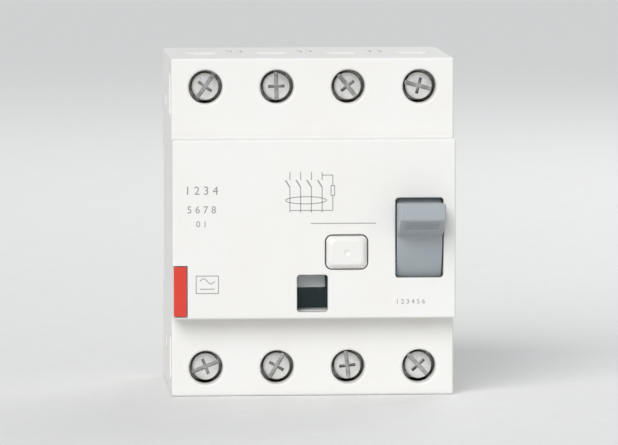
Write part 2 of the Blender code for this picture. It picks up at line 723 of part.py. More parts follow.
# ---------------------------------------------------------------- switching parts
def build_toggle():
    """The lever: a drum that fills its window, with a wedge-shaped grip."""
    centre = TOGGLE_PIVOT
    holder = pivot("toggle_axis", (TOGGLE_X, *TOGGLE_PIVOT))
    inner = TOGGLE_DRUM_R - TOGGLE_SKIRT
    tip_half = math.degrees(TOGGLE_TIP_THICK / 2 / TOGGLE_TIP_R)
    outline = arc(centre, TOGGLE_DRUM_R, -TOGGLE_SKIRT_DOWN, -TOGGLE_GRIP_HALF, 5)
    outline += arc(centre, TOGGLE_TIP_R, -tip_half, tip_half, 3)
    outline += arc(centre, TOGGLE_DRUM_R, TOGGLE_GRIP_HALF, TOGGLE_SKIRT_UP, 5)
    outline += arc(centre, inner, TOGGLE_SKIRT_UP, TOGGLE_SPOKE_HALF, 5)
    outline += arc(centre, TOGGLE_HUB_R, 60, 300, 10)
    outline += arc(centre, inner, -TOGGLE_SPOKE_HALF, -TOGGLE_SKIRT_DOWN, 5)
    left = TOGGLE_X - TOGGLE_HALF_WIDTH
    right = TOGGLE_X + TOGGLE_HALF_WIDTH
    outline = turned(outline, TOGGLE_ON_ANGLE, centre)
    lever = prism("toggle_lever", outline, "X", left, right, "lever_grey", 40)
    crank_pin = (centre[0] + CRANK_R, centre[1])
    crank = [(centre[0], centre[1] - 1.8), (crank_pin[0] + 1.4, crank_pin[1] - 1.4)]
    crank += [(crank_pin[0] + 1.4, crank_pin[1] + 1.4), (centre[0], centre[1] + 1.8)]
    arm = prism("add_toggle_crank", crank, "X", LINK_X + 1.4, LINK_X + 6.6)
    pin = cylinders("add_toggle_crank_pin", [crank_pin], CRANK_PIN_R, "X", LINK_X - 1.3, LINK_X + 2.0, 12)
    hole_r = TOGGLE_PIN_R + PIECE_GAP
    hole = cylinders("cut_toggle_bore", [centre], hole_r, "X", left - 1, right + 1, 16)
    join(lever, arm, pin)
    cut(lever, hole)
    set_origin(lever, (TOGGLE_X, *TOGGLE_PIVOT), holder)
    cheek_in = left - CHEEK_GAP
    cheek_out = right + CHEEK_GAP
    pin_reach = 1.2
    cylinders("toggle_pin", [centre], TOGGLE_PIN_R, "X", cheek_in - pin_reach, cheek_out + 0.8, 16,
              "zinc_steel")
    build_mechanism_bracket(cheek_in, cheek_out)


def build_mechanism_bracket(cheek_in, cheek_out):
    """The steel frame whose two cheeks hold the lever's pin."""
    base_back = PLATE_FRONT - PIECE_GAP
    base_front = base_back - BRACKET_SHEET
    low = TOGGLE_Z - BRACKET_BELOW
    high = TOGGLE_Z + BRACKET_ABOVE
    outer_left = cheek_in - BRACKET_SHEET
    outer_right = min(cheek_out + 0.8, INNER_X - PIECE_GAP)
    outline = rectangle(outer_left, outer_right, -TOGGLE_PIVOT_DEPTH - BRACKET_FRONT_ROOM, base_back)
    bracket = prism("mechanism_bracket", outline, "Z", low, high, "zinc_steel")
    middle = boxes("cut_bracket_middle", [
        ((cheek_in, -TOGGLE_PIVOT_DEPTH - BRACKET_FRONT_ROOM - 1, low - 1),
         (cheek_out, base_front, high + 1)),
    ])
    window = boxes("cut_bracket_window", [
        ((cheek_in, base_front - 1, TOGGLE_Z - BRACKET_WINDOW_HALF),
         (cheek_out, base_back + 1, TOGGLE_Z + BRACKET_WINDOW_HALF)),
    ])
    hole = cylinders("cut_bracket_holes", [TOGGLE_PIVOT], TOGGLE_PIN_R + PIECE_GAP, "X",
                     outer_left - 1, outer_right + 1, 16)
    cut(bracket, middle, window, hole)


def build_drive_link():
    """The flat link from the lever's crank to the contact shaft's crank."""
    start = (TOGGLE_PIVOT[0] + CRANK_R, TOGGLE_PIVOT[1])
    end = (SHAFT[0] - SHAFT_CRANK_R, SHAFT[1])
    length = math.dist(start, end)
    angle = math.atan2(end[1] - start[1], end[0] - start[0])
    outline = link_slot(0.0, length + LINK_SLOT_AFTER, LINK_END_R, 8)
    points = along_link(outline, start, angle)
    holder = pivot("drive_link_axis", (LINK_X, *start))
    link = prism("drive_link", points, "X", LINK_X - LINK_HALF, LINK_X + LINK_HALF, "zinc_steel", 40)
    eye = cylinders("cut_link_eye", [start], CRANK_PIN_R + PIECE_GAP, "X", LINK_X - 2, LINK_X + 2, 12)
    slot_outline = link_slot(length - LINK_SLOT_BEFORE, length + LINK_SLOT_AFTER, CRANK_PIN_R + PIECE_GAP, 6)
    slot = prism("cut_link_slot", along_link(slot_outline, start, angle), "X", LINK_X - 2, LINK_X + 2)
    cut(link, eye, slot)
    set_origin(link, (LINK_X, *start), holder)


def link_slot(first, last, radius, steps):
    """Outline with two round ends, drawn along the link from first to last."""
    outline = []
    for middle, start in ((first, math.pi / 2), (last, -math.pi / 2)):
        for index in range(steps + 1):
            turn = start + math.pi * index / steps
            outline.append((middle + radius * math.cos(turn), radius * math.sin(turn)))
    return outline


def along_link(points, start, angle):
    """Turn points drawn along a link into its place."""
    cosine = math.cos(angle)
    sine = math.sin(angle)
    return [(start[0] + a * cosine - b * sine, start[1] + a * sine + b * cosine) for a, b in points]


def arm_point(along, aside):
    """A point on a contact arm: along it from the shaft, and aside towards the front."""
    angle = math.radians(ARM_ANGLE)
    direction = (-math.sin(angle), math.cos(angle))
    normal = (-math.cos(angle), -math.sin(angle))
    first = SHAFT[0] + along * direction[0] + aside * normal[0]
    return first, SHAFT[1] + along * direction[1] + aside * normal[1]


def arm_outline(tail, tip, half):
    """Outline of a bar that lies along the contact arms."""
    return [arm_point(-tail, -half), arm_point(tip, -half), arm_point(tip, half), arm_point(-tail, half)]


def build_contact_shaft():
    """The insulating shaft and the four contact arms it turns."""
    holder = pivot("contact_shaft_axis", (0, *SHAFT))
    journal = INNER_X - PIECE_GAP - 0.2
    body = INNER_X - PIECE_GAP - 2.0 - PIECE_GAP
    shaft = cylinders("contact_shaft", [SHAFT], SHAFT_R, "X", -body, body, 20, "inner_plastic")
    stubs = cylinders("add_journals", [SHAFT], JOURNAL_R, "X", -journal, journal, 16)
    crank_pin = (SHAFT[0] - SHAFT_CRANK_R, SHAFT[1])
    crank_x = LINK_X - LINK_HALF - PIECE_GAP
    arm = prism("add_shaft_crank",
                rectangle(crank_pin[0] - CRANK_ARM_HALF, SHAFT[0], SHAFT[1] - CRANK_ARM_HALF,
                          SHAFT[1] + CRANK_ARM_HALF), "X", crank_x - 1.2, crank_x)
    pin = cylinders("add_shaft_crank_pin", [crank_pin], CRANK_PIN_R, "X",
                    crank_x - 1.0, LINK_X + LINK_HALF + 0.4, 12)
    join(shaft, stubs, arm, pin)
    bm = bmesh.new()
    clearance = ARM_THICK / 2 + PIECE_GAP
    for x in POLE_X:
        outline = arm_outline(SHAFT_R + 2, SHAFT_R + 2, clearance)
        half = ARM_WIDTH / 2 + PIECE_GAP
        add_prism(bm, outline, "X", x - half, x + half)
    cut(shaft, add_object("cut_arm_slots", bm))
    set_origin(shaft, (0, *SHAFT), holder)
    for number, x in enumerate(POLE_X, start=1):
        outline = arm_outline(ARM_TAIL, ARM_REACH, ARM_THICK / 2)
        name = "moving_contact_" + str(number)
        contact = prism(name, outline, "X", x - ARM_WIDTH / 2, x + ARM_WIDTH / 2, "copper")
        pad = cylinders("add_moving_pad_" + str(number), [(x, CONTACT_Z)], CONTACT_R, "Y",
                        TAB_BACK + CONTACT_PAD + PIECE_GAP, TAB_BACK + CONTACT_PAD + 3.0, 16)
        join(contact, pad)
        set_origin(contact, (0, *SHAFT), holder)
    path = coil_path((MODULE_PITCH, -5.6, SHAFT_Z + 4.5), "Z", 12.0, 1.9, 6)
    tube("contact_spring", path, SPRING_WIRE_R, 6, "zinc_steel")


def build_line_contacts():
    """The four fixed contacts, each with the tab that its terminal clamps."""
    for number, x in enumerate(POLE_X, start=1):
        outline = rectangle(x - TAB_WIDTH / 2, x + TAB_WIDTH / 2, CONTACT_Z - CONTACT_R, TAB_END)
        strip = prism("line_contact_" + str(number), outline, "Y", TAB_FRONT, TAB_BACK, "copper")
        pad = cylinders("add_fixed_pad_" + str(number), [(x, CONTACT_Z)], CONTACT_R - 0.1, "Y",
                        TAB_BACK - 0.5, TAB_BACK + CONTACT_PAD, 16)
        join(strip, pad)


def build_load_conductors():
    """The four load conductors: through the transformer and down to their tabs."""
    back_y = -TOROID_DEPTH + WIRE_SPREAD
    front_y = -TOROID_DEPTH - WIRE_SPREAD
    top = TOROID_Z + TOROID_HEIGHT / 2
    bottom = TOROID_Z - TOROID_HEIGHT / 2
    tab_top = -CONTACT_Z - LOAD_TAB_LENGTH_IN
    for number, x in enumerate(POLE_X, start=1):
        side = math.copysign(1, x)
        inner = abs(x) < MODULE_PITCH
        if inner:
            y = front_y
            route = [(x, -6.4, 1.6), (x, -7.4, -0.6), (side * 5.0, -11.0, -2.6)]
            leave = [(side * 3.6, y - 2.6, bottom - 2.6), (x, TAB_BACK + 1.2, tab_top + 0.6)]
        else:
            y = back_y
            route = [(x, -6.0, 1.6), (x - side * 1.0, -4.6, -2.6), (x - side * 12, -4.3, -4.4)]
            route += [(side * 6.5, -5.6, -4.6)]
            leave = [(side * 5.0, y - 0.6, bottom - 3.0), (x - side * 8, y - 4.5, bottom - 3.9)]
            leave += [(x, TAB_BACK + 1.2, tab_top + 0.6)]
        route += [(side * WIRE_SPREAD, y, top + 0.6), (side * WIRE_SPREAD, y, bottom - 0.6)]
        route += leave
        route += [(x, TAB_BACK - 0.7, tab_top - 1.0)]
        wire = tube("load_conductor_" + str(number), smooth_path(route, 3), WIRE_R, 8, "wire_sleeve")
        outline = rectangle(x - TAB_WIDTH / 2, x + TAB_WIDTH / 2, -TAB_END, tab_top)
        tab = prism("add_load_tab_" + str(number), outline, "Y", TAB_FRONT, TAB_BACK)
        join(wire, tab)


# ---------------------------------------------------------------- terminals
def build_terminals():
    """Eight screw terminals: each a screw and the cage that it lifts."""
    for number, (x, z) in enumerate(terminal_centres(), start=1):
        turn = math.radians(17 + 37 * number)
        screw_name = "terminal_screw_" + str(number)
        screw_holder = pivot(screw_name + "_axis", (x, HEAD_FRONT, z))
        screw = cylinders(screw_name, [(x, z)], SCREW_HEAD_R, "Y", HEAD_FRONT, HEAD_BACK, 20, "zinc_steel")
        shank = cylinders("add_thread_" + str(number), [(x, z)], SCREW_SHANK_R, "Y",
                          HEAD_BACK - 0.5, SCREW_TIP, 16)
        join(screw, shank)
        for part, extra in (("a", 0.0), ("b", math.pi / 2)):
            angle = turn + extra
            length = SCREW_HEAD_R + 1 if part == "a" else SCREW_HEAD_R * 0.55
            corners = [(-length, -SCREW_SLOT / 2), (length, -SCREW_SLOT / 2)]
            corners += [(length, SCREW_SLOT / 2), (-length, SCREW_SLOT / 2)]
            outline = along_link(corners, (x, z), angle)
            slot_name = "cut_drive_" + part + "_" + str(number)
            cut(screw, prism(slot_name, outline, "Y", HEAD_FRONT - 1, HEAD_FRONT + SCREW_SLOT_DEEP))
        set_origin(screw, (x, HEAD_FRONT, z), screw_holder)
        build_cage(number, x, z)


def build_cage(number, x, z):
    """The clamp cage around a tab, open along Z for the conductor."""
    half = CONDUCTOR_WIDTH / 2 + CAGE_WALL
    low = z - CAGE_LENGTH / 2
    high = z + CAGE_LENGTH / 2
    outline = rectangle(x - half, x + half, CAGE_FRONT, CAGE_BACK)
    cage = prism("clamp_cage_" + str(number), outline, "Z", low, high, "zinc_steel")
    hollow = boxes("cut_cage_" + str(number), [
        ((x - CONDUCTOR_WIDTH / 2, CAGE_HOLLOW_FRONT, low - 1),
         (x + CONDUCTOR_WIDTH / 2, CAGE_HOLLOW_BACK, high + 1)),
    ])
    thread = cylinders("cut_cage_thread_" + str(number), [(x, z)], SCREW_SHANK_R + PIECE_GAP, "Y",
                       CAGE_FRONT - 1, CAGE_HOLLOW_FRONT + 1, 16)
    cut(cage, hollow, thread)
    set_origin(cage, (x, CAGE_FRONT, z), pivot("clamp_cage_" + str(number) + "_axis", (x, CAGE_FRONT, z)))


# ---------------------------------------------------------------- test circuit
def build_test_circuit():
    """The test button with its spring, its contact leaf and its resistor."""
    centre = (BUTTON_X, BUTTON_Z)
    nose = -NOSE_DEPTH
    play = 2 * PIECE_GAP
    holder = pivot("test_button_axis", (BUTTON_X, nose, BUTTON_Z))
    width = BUTTON_WIDTH - play
    height = BUTTON_HEIGHT - play
    bm = bmesh.new()
    flange_front = nose + WALL + PIECE_GAP
    levels = [(flange_front, width, height, BUTTON_CORNER - PIECE_GAP)]
    levels += [(nose - 0.1, width, height, BUTTON_CORNER)]
    levels += [(nose - BUTTON_PROUD, BUTTON_LAND_WIDTH, BUTTON_LAND_HEIGHT, 1.2)]
    rings = []
    for y, ring_width, ring_height, corner in levels:
        outline = rounded(centre, ring_width, ring_height, corner)
        rings.append([bm.verts.new((a, y, b)) for a, b in outline])
    for first, second in zip(rings, rings[1:]):
        count = len(first)
        for index in range(count):
            after = (index + 1) % count
            bm.faces.new((first[index], first[after], second[after], second[index]))
    bm.faces.new(rings[0])
    bm.faces.new(rings[-1])
    button = add_object("test_button", bm, "pale_plastic", 40)
    flange = prism("add_button_flange",
                   rounded(centre, width + 2 * BUTTON_FLANGE, height + 2 * BUTTON_FLANGE, BUTTON_CORNER), "Y",
                   flange_front, flange_front + BUTTON_FLANGE_THICK)
    stem = cylinders("add_button_stem", [centre], BUTTON_STEM_R, "Y", flange_front + 0.6, STEM_END, 16)
    join(button, flange, stem)
    set_origin(button, (BUTTON_X, nose, BUTTON_Z), holder)
    start = (BUTTON_X, -SPRING_SEAT - PIECE_GAP - SPRING_WIRE_R, BUTTON_Z)
    length = flange_front + BUTTON_FLANGE_THICK + PIECE_GAP + SPRING_WIRE_R - start[1]
    path = coil_path(start, "Y", length, BUTTON_STEM_R + 1.2, 5)
    tube("test_button_spring", path, SPRING_WIRE_R, 6, "zinc_steel")
    leaf_back = LEAF_FRONT + LEAF_THICK
    foot = PLATE_FRONT - PIECE_GAP
    leaf = [(BUTTON_X - 5.0, LEAF_FRONT), (BUTTON_X + 6.4, LEAF_FRONT), (BUTTON_X + 7.4, foot - LEAF_THICK)]
    leaf += [(BUTTON_X + 9.4, foot - LEAF_THICK), (BUTTON_X + 9.4, foot), (BUTTON_X + 7.0, foot)]
    leaf += [(BUTTON_X + 6.0, leaf_back), (BUTTON_X - 5.0, leaf_back)]
    prism("test_contact", leaf, "Z", BUTTON_Z - LEAF_HALF, BUTTON_Z + LEAF_HALF, "copper")
    level = foot - RESISTOR_R - 1.0
    leads = [(5.0, foot, RESISTOR_Z), (5.0, level + 0.6, RESISTOR_Z), (5.6, level, RESISTOR_Z)]
    leads += [(17.4, level, RESISTOR_Z), (18.0, level + 0.6, RESISTOR_Z), (18.0, foot, RESISTOR_Z)]
    resistor = cylinders("test_resistor", [(level, RESISTOR_Z)], RESISTOR_R, "X", 6.6, 16.4, 16, "resistor")
    join(resistor, tube("add_resistor_leads", [Vector(point) for point in leads], LEAD_R, 6))


# ---------------------------------------------------------------- indicator
def build_indicator():
    """The clear lens, the sliding flag behind it and the flag's guide."""
    centre = (WINDOW_X, WINDOW_Z)
    nose = -NOSE_DEPTH
    lens_width = WINDOW_WIDTH - 2 * PIECE_GAP
    lens_height = WINDOW_HEIGHT - 2 * PIECE_GAP
    lens = prism("indicator_lens", rounded(centre, lens_width, lens_height, WINDOW_CORNER, 3),
                 "Y", nose + LENS_SUNK, nose + WALL + 0.8, "clear")
    rim_low = -NOSE_HALF + WALL + PIECE_GAP
    rim_high = WINDOW_Z + WINDOW_HEIGHT / 2 + 0.3
    rim = boxes("add_lens_rim", [
        ((WINDOW_X - LENS_RIM_HALF, nose + WALL + PIECE_GAP, rim_low),
         (WINDOW_X + LENS_RIM_HALF, nose + WALL + 1.0, rim_high)),
    ])
    join(lens, rim)
    low = WINDOW_Z + WINDOW_HEIGHT / 2 - FLAG_SHOWN
    high = low + WINDOW_HEIGHT + 1.3
    left = WINDOW_X - WINDOW_WIDTH / 2 + PIECE_GAP
    right = WINDOW_X + WINDOW_WIDTH / 2 - PIECE_GAP
    holder = pivot("indicator_flag_axis", (WINDOW_X, -FLAG_DEPTH, low))
    plate = ((left, -FLAG_DEPTH, low), (right, -FLAG_DEPTH + FLAG_THICK, high))
    flag = boxes("indicator_flag", [plate], "flag_grey")
    stem = boxes("add_flag_stem", [
        ((WINDOW_X - FLAG_STEM_HALF, -FLAG_DEPTH + FLAG_THICK / 2, low + 4.5),
         (WINDOW_X + FLAG_STEM_HALF, FLAG_STEM_END, low + 8.5)),
    ])
    join(flag, stem)
    set_origin(flag, (WINDOW_X, -FLAG_DEPTH, low), holder)
    inner = FLAG_STEM_HALF + PIECE_GAP
    outer = inner + GUIDE_WALL
    base_back = PLATE_FRONT - PIECE_GAP
    base_front = base_back - GUIDE_WALL
    outline = [(WINDOW_X - outer, base_back), (WINDOW_X - outer, GUIDE_FRONT)]
    outline += [(WINDOW_X - inner, GUIDE_FRONT), (WINDOW_X - inner, base_front)]
    outline += [(WINDOW_X + inner, base_front), (WINDOW_X + inner, GUIDE_FRONT)]
    outline += [(WINDOW_X + outer, GUIDE_FRONT), (WINDOW_X + outer, base_back)]
    prism("indicator_guide", outline, "Z", low - 1.0, high - 0.6, "inner_plastic")


# ---------------------------------------------------------------- sensing and tripping
def ring_section(bm, centre, section, start, end, steps, closed):
    """Turn a closed section of (radius, z) points about a Z axis."""
    rings = []
    count = steps if closed else steps + 1
    for index in range(count):
        angle = math.radians(start + (end - start) * index / steps)
        ring = []
        for radius, z in section:
            x = centre[0] + radius * math.cos(angle)
            ring.append(bm.verts.new((x, centre[1] + radius * math.sin(angle), z)))
        rings.append(ring)
    sides = len(section)
    pairs = list(zip(rings, rings[1:]))
    if closed:
        pairs.append((rings[-1], rings[0]))
    for first, second in pairs:
        for side in range(sides):
            after = (side + 1) % sides
            bm.faces.new((first[side], first[after], second[after], second[side]))
    return rings


def build_transformer():
    """The ring core and the wound sleeve around most of it."""
    centre = (0.0, -TOROID_DEPTH)
    half = TOROID_HEIGHT / 2
    hollow = WINDING_WALL
    core = WINDING_WALL + PIECE_GAP
    bm = bmesh.new()
    low = TOROID_Z - half
    high = TOROID_Z + half
    section = rectangle(TOROID_BORE_R + core, TOROID_OUTER_R - core, low + core, high - core)
    ring_section(bm, centre, section, 0, 360, 32, True)
    add_object("toroid_core", bm, "ferrite", 40)
    bm = bmesh.new()
    outer = rectangle(TOROID_BORE_R, TOROID_OUTER_R, low, high)
    inner = rectangle(TOROID_BORE_R + hollow, TOROID_OUTER_R - hollow, low + hollow, high - hollow)
    outside = ring_section(bm, centre, outer, -60, 240, 28, False)
    inside = ring_section(bm, centre, inner, -60, 240, 28, False)
    for end in (0, -1):
        for side in range(4):
            after = (side + 1) % 4
            bm.faces.new((outside[end][side], outside[end][after], inside[end][after], inside[end][side]))
    add_object("toroid_winding", bm, "enamel_winding", 40)


def build_relay():
    """The trip relay: yoke, coil and the plunger that lifts the trip bar."""
    centre = (RELAY_X, -RELAY_DEPTH)
    base_back = PLATE_FRONT - PIECE_GAP
    front = -RELAY_DEPTH - COIL_R - 0.8
    low = COIL_LOW - PIECE_GAP - YOKE_THICK
    high = COIL_HIGH + PIECE_GAP + YOKE_THICK
    base_front = base_back - YOKE_THICK
    outline = [(base_back, low), (front, low), (front, low + YOKE_THICK), (base_front, low + YOKE_THICK)]
    outline += [(base_front, high - YOKE_THICK), (front, high - YOKE_THICK), (front, high), (base_back, high)]
    yoke = prism("relay_yoke", outline, "X", RELAY_X - 5.5, RELAY_X + 5.5, "zinc_steel")
    hole_r = PLUNGER_R + PIECE_GAP
    hole = cylinders("cut_yoke_hole", [centre], hole_r, "Z", high - YOKE_THICK - 1, high + 1, 16)
    cut(yoke, hole)
    bm = bmesh.new()
    bore = PLUNGER_R + PIECE_GAP
    low_flange = COIL_LOW + COIL_FLANGE
    high_flange = COIL_HIGH - COIL_FLANGE
    section = [(bore, COIL_LOW), (COIL_FLANGE_R, COIL_LOW), (COIL_FLANGE_R, low_flange), (COIL_R, low_flange)]
    section += [(COIL_R, high_flange), (COIL_FLANGE_R, high_flange)]
    section += [(COIL_FLANGE_R, COIL_HIGH), (bore, COIL_HIGH)]
    ring_section(bm, centre, section, 0, 360, 24, True)
    add_object("relay_coil", bm, "enamel_winding", 40)
    holder = pivot("relay_plunger_axis", (*centre, PLUNGER_TOP))
    plunger = cylinders("relay_plunger", [centre], PLUNGER_R, "Z", COIL_LOW + 2.0, PLUNGER_TOP, 16,
                        "zinc_steel")
    set_origin(plunger, (*centre, PLUNGER_TOP), holder)


def build_trip_bar():
    """The bar that carries the relay's push across to the latch."""
    centre = (-TRIP_DEPTH, TRIP_Z)
    arm_low = PLUNGER_TOP + PIECE_GAP
    end = TOGGLE_X - TOGGLE_HALF_WIDTH - CHEEK_GAP - 1.2 - 2 * PIECE_GAP
    bar = cylinders("trip_bar", [centre], TRIP_R, "X", RELAY_X - 5.0, end, 16, "pale_plastic")
    paddle = boxes("add_trip_paddle", [
        ((RELAY_X - 2.2, -RELAY_DEPTH - 2.0, arm_low), (RELAY_X + 2.2, -TRIP_DEPTH, arm_low + 2.2)),
    ])
    finger = boxes("add_trip_finger", [
        ((LATCH_X - 2.5, -TRIP_DEPTH - 1.0, TRIP_Z - 6.6), (LATCH_X, -TRIP_DEPTH + 0.8, TRIP_Z)),
    ])
    join(bar, paddle, finger)
    set_origin(bar, (0, *centre), pivot("trip_bar_axis", (0, *centre)))
    outline = [(1.8, -1.8), (-1.8, -1.8), (-3.0, 2.0), (-2.8, 6.6), (-1.4, 6.6), (-1.3, 3.0), (1.8, 1.8)]
    points = [(-LATCH_DEPTH + a, LATCH_Z + b) for a, b in outline]
    latch = prism("latch_lever", points, "X", LATCH_X - 1.1, end, "zinc_steel")
    boss = cylinders("add_latch_boss", [(-LATCH_DEPTH, LATCH_Z)], 1.2, "X", LATCH_X - 3.0, LATCH_X, 12)
    join(latch, boss)
    axis = (LATCH_X, -LATCH_DEPTH, LATCH_Z)
    set_origin(latch, axis, pivot("latch_axis", axis))


def build_all():
    """Build every piece in the order it goes together."""
    clear_scene()
    build_rear_housing()
    build_rail_clip()
    build_line_contacts()
    build_load_conductors()
    build_transformer()
    build_contact_shaft()
    build_terminals()
    build_inner_frame()
    build_toggle()
    build_drive_link()
    build_relay()
    build_trip_bar()
    build_test_circuit()
    build_indicator()
    build_front_cover()
    build_marker()
    build_fasteners()


build_all()
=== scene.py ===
"""Looks of a four-pole residual current device that stands on a pale studio floor."""
import json
import logging
import math
from collections.abc import Callable
from dataclasses import dataclass, field
from enum import Enum

import bmesh
import bpy
from mathutils import Matrix, Vector

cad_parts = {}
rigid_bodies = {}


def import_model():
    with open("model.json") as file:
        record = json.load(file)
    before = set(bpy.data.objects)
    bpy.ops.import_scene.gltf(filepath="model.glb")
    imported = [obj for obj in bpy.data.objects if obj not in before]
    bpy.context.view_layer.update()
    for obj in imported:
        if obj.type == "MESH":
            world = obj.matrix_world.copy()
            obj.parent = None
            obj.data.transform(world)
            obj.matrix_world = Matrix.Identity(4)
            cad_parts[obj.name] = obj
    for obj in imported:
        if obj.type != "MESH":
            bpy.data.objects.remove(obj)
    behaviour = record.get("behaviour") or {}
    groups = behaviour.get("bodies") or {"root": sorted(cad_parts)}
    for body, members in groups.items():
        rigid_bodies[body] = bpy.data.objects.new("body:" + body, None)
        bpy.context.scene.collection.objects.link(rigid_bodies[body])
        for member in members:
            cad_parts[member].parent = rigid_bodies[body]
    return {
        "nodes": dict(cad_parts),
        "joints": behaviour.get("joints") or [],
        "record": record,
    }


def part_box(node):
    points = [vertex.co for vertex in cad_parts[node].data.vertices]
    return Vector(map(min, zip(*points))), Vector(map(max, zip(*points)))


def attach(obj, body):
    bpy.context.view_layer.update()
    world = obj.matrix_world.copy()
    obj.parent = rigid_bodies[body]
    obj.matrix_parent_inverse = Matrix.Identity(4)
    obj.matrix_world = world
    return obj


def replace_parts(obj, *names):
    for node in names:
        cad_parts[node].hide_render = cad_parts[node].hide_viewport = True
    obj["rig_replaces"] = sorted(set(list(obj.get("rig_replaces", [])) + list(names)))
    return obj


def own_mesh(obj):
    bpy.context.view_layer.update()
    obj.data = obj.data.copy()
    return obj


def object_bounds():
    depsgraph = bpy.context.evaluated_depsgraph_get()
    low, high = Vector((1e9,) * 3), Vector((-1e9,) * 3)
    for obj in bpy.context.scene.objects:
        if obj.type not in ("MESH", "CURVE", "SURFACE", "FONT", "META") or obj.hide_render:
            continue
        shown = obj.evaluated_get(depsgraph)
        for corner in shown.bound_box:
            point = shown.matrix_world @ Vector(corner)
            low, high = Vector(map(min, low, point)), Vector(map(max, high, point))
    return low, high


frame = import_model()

LOG = logging.getLogger("residual_current_device")
MM = 0.001
CAD_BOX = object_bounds()
GAP = 0.3
PAST = 1.0
FAR = 99.0
SMALLEST_EDGE = 1e-6
BODY_OF = {node: body for body, nodes in frame["record"]["behaviour"]["bodies"].items() for node in nodes}
SLOT_OF = {part["node"]: part["material_slot"] for part in frame["record"]["subparts"]}

Point2 = tuple[float, float]
Point3 = tuple[float, float, float]
Point4 = tuple[float, float, float, float]
Outline = list[Point2]
Colour = tuple[float, float, float]
NodeInputs = dict[str | int, object]


class Axis(Enum):
    """The direction that a shape runs along."""

    X = "X"
    Y = "Y"
    Z = "Z"


class Slot(Enum):
    """The record's material slots."""

    HOUSING = "housing"
    INNER = "inner_plastic"
    PALE = "pale_plastic"
    LEVER = "lever_grey"
    LENS = "clear_lens"
    FLAG = "flag_grey"
    MARKER = "marker_red"
    ZINC = "zinc_steel"
    COPPER = "copper"
    SLEEVE = "wire_sleeve"
    WINDING = "enamel_winding"
    FERRITE = "ferrite"
    RESISTOR = "resistor"
    CLIP = "clip_black"


# ------------------------------------------------------------------ places in the frame
def node_box(name: str) -> tuple[Vector, Vector]:
    """Read a CAD node's box.

    Args:
        name: the node.

    Returns:
        Its lowest and highest corners in millimetres.
    """
    low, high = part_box(name)
    return Vector(low) / MM, Vector(high) / MM


def node_middle(name: str) -> Vector:
    """Give the middle of a CAD node's box in millimetres."""
    low, high = node_box(name)
    return (low + high) / 2


def face_centre(name: str) -> Point2:
    """Give the middle of a CAD node's box in (X, Z), as seen from the front."""
    low, high = node_box(name)
    return (low.x + high.x) / 2, (low.z + high.z) / 2


def joint_place(name: str) -> Vector:
    """Give a hinge's place in millimetres."""
    joint = next(joint for joint in frame["joints"] if joint["name"] == name)
    return Vector(joint["pos_m"]) / MM


# ------------------------------------------------------------------ outlines
def rectangle(a_low: float, a_high: float, b_low: float, b_high: float) -> Outline:
    """Draw a rectangle."""
    return [(a_low, b_low), (a_high, b_low), (a_high, b_high), (a_low, b_high)]


def circle(centre: Point2, radius: float, sides: int = 48) -> Outline:
    """Draw a circle."""
    angles = [2 * math.pi * index / sides for index in range(sides)]
    return [(centre[0] + radius * math.cos(a), centre[1] + radius * math.sin(a)) for a in angles]


def rounded(centre: Point2, width: float, height: float, radius: float, steps: int = 8) -> Outline:
    """Draw a rectangle with round corners.

    Args:
        centre: its middle.
        width: size along the first axis.
        height: size along the second axis.
        radius: corner radius.
        steps: flats in each corner.

    Returns:
        The outline, anticlockwise.
    """
    points = []
    for side_a, side_b, start in ((1, 1, 0), (-1, 1, 90), (-1, -1, 180), (1, -1, 270)):
        middle_a = centre[0] + side_a * (width / 2 - radius)
        middle_b = centre[1] + side_b * (height / 2 - radius)
        for index in range(steps + 1):
            angle = math.radians(start + 90 * index / steps)
            points.append((middle_a + radius * math.cos(angle), middle_b + radius * math.sin(angle)))
    return points


def front_arc(centre: Point2, radius: float, start: float, end: float, steps: int) -> Outline:
    """Draw an arc in the (Y, Z) plane.

    Args:
        centre: the arc's centre.
        radius: its radius.
        start: first angle in degrees, from the front (-Y) towards +Z.
        end: last angle in degrees.
        steps: flats in the arc.

    Returns:
        The points from start to end.
    """
    points = []
    for index in range(steps + 1):
        angle = math.radians(start + (end - start) * index / steps)
        points.append((centre[0] - radius * math.cos(angle), centre[1] + radius * math.sin(angle)))
    return points


def spun(offsets: Outline, angle: float, centre: Point2) -> Outline:
    """Turn an outline that is drawn from its centre by an angle in radians, and put it in place."""
    cosine = math.cos(angle)
    sine = math.sin(angle)
    return [(centre[0] + a * cosine - b * sine, centre[1] + a * sine + b * cosine) for a, b in offsets]


def widening(centre: Point2, width: float, height: float, corner: float) -> Callable[[float], Outline]:
    """Give a rounded rectangle that can be drawn wider by an offset all round."""
    return lambda offset: rounded(centre, width + 2 * offset, height + 2 * offset, corner + offset)


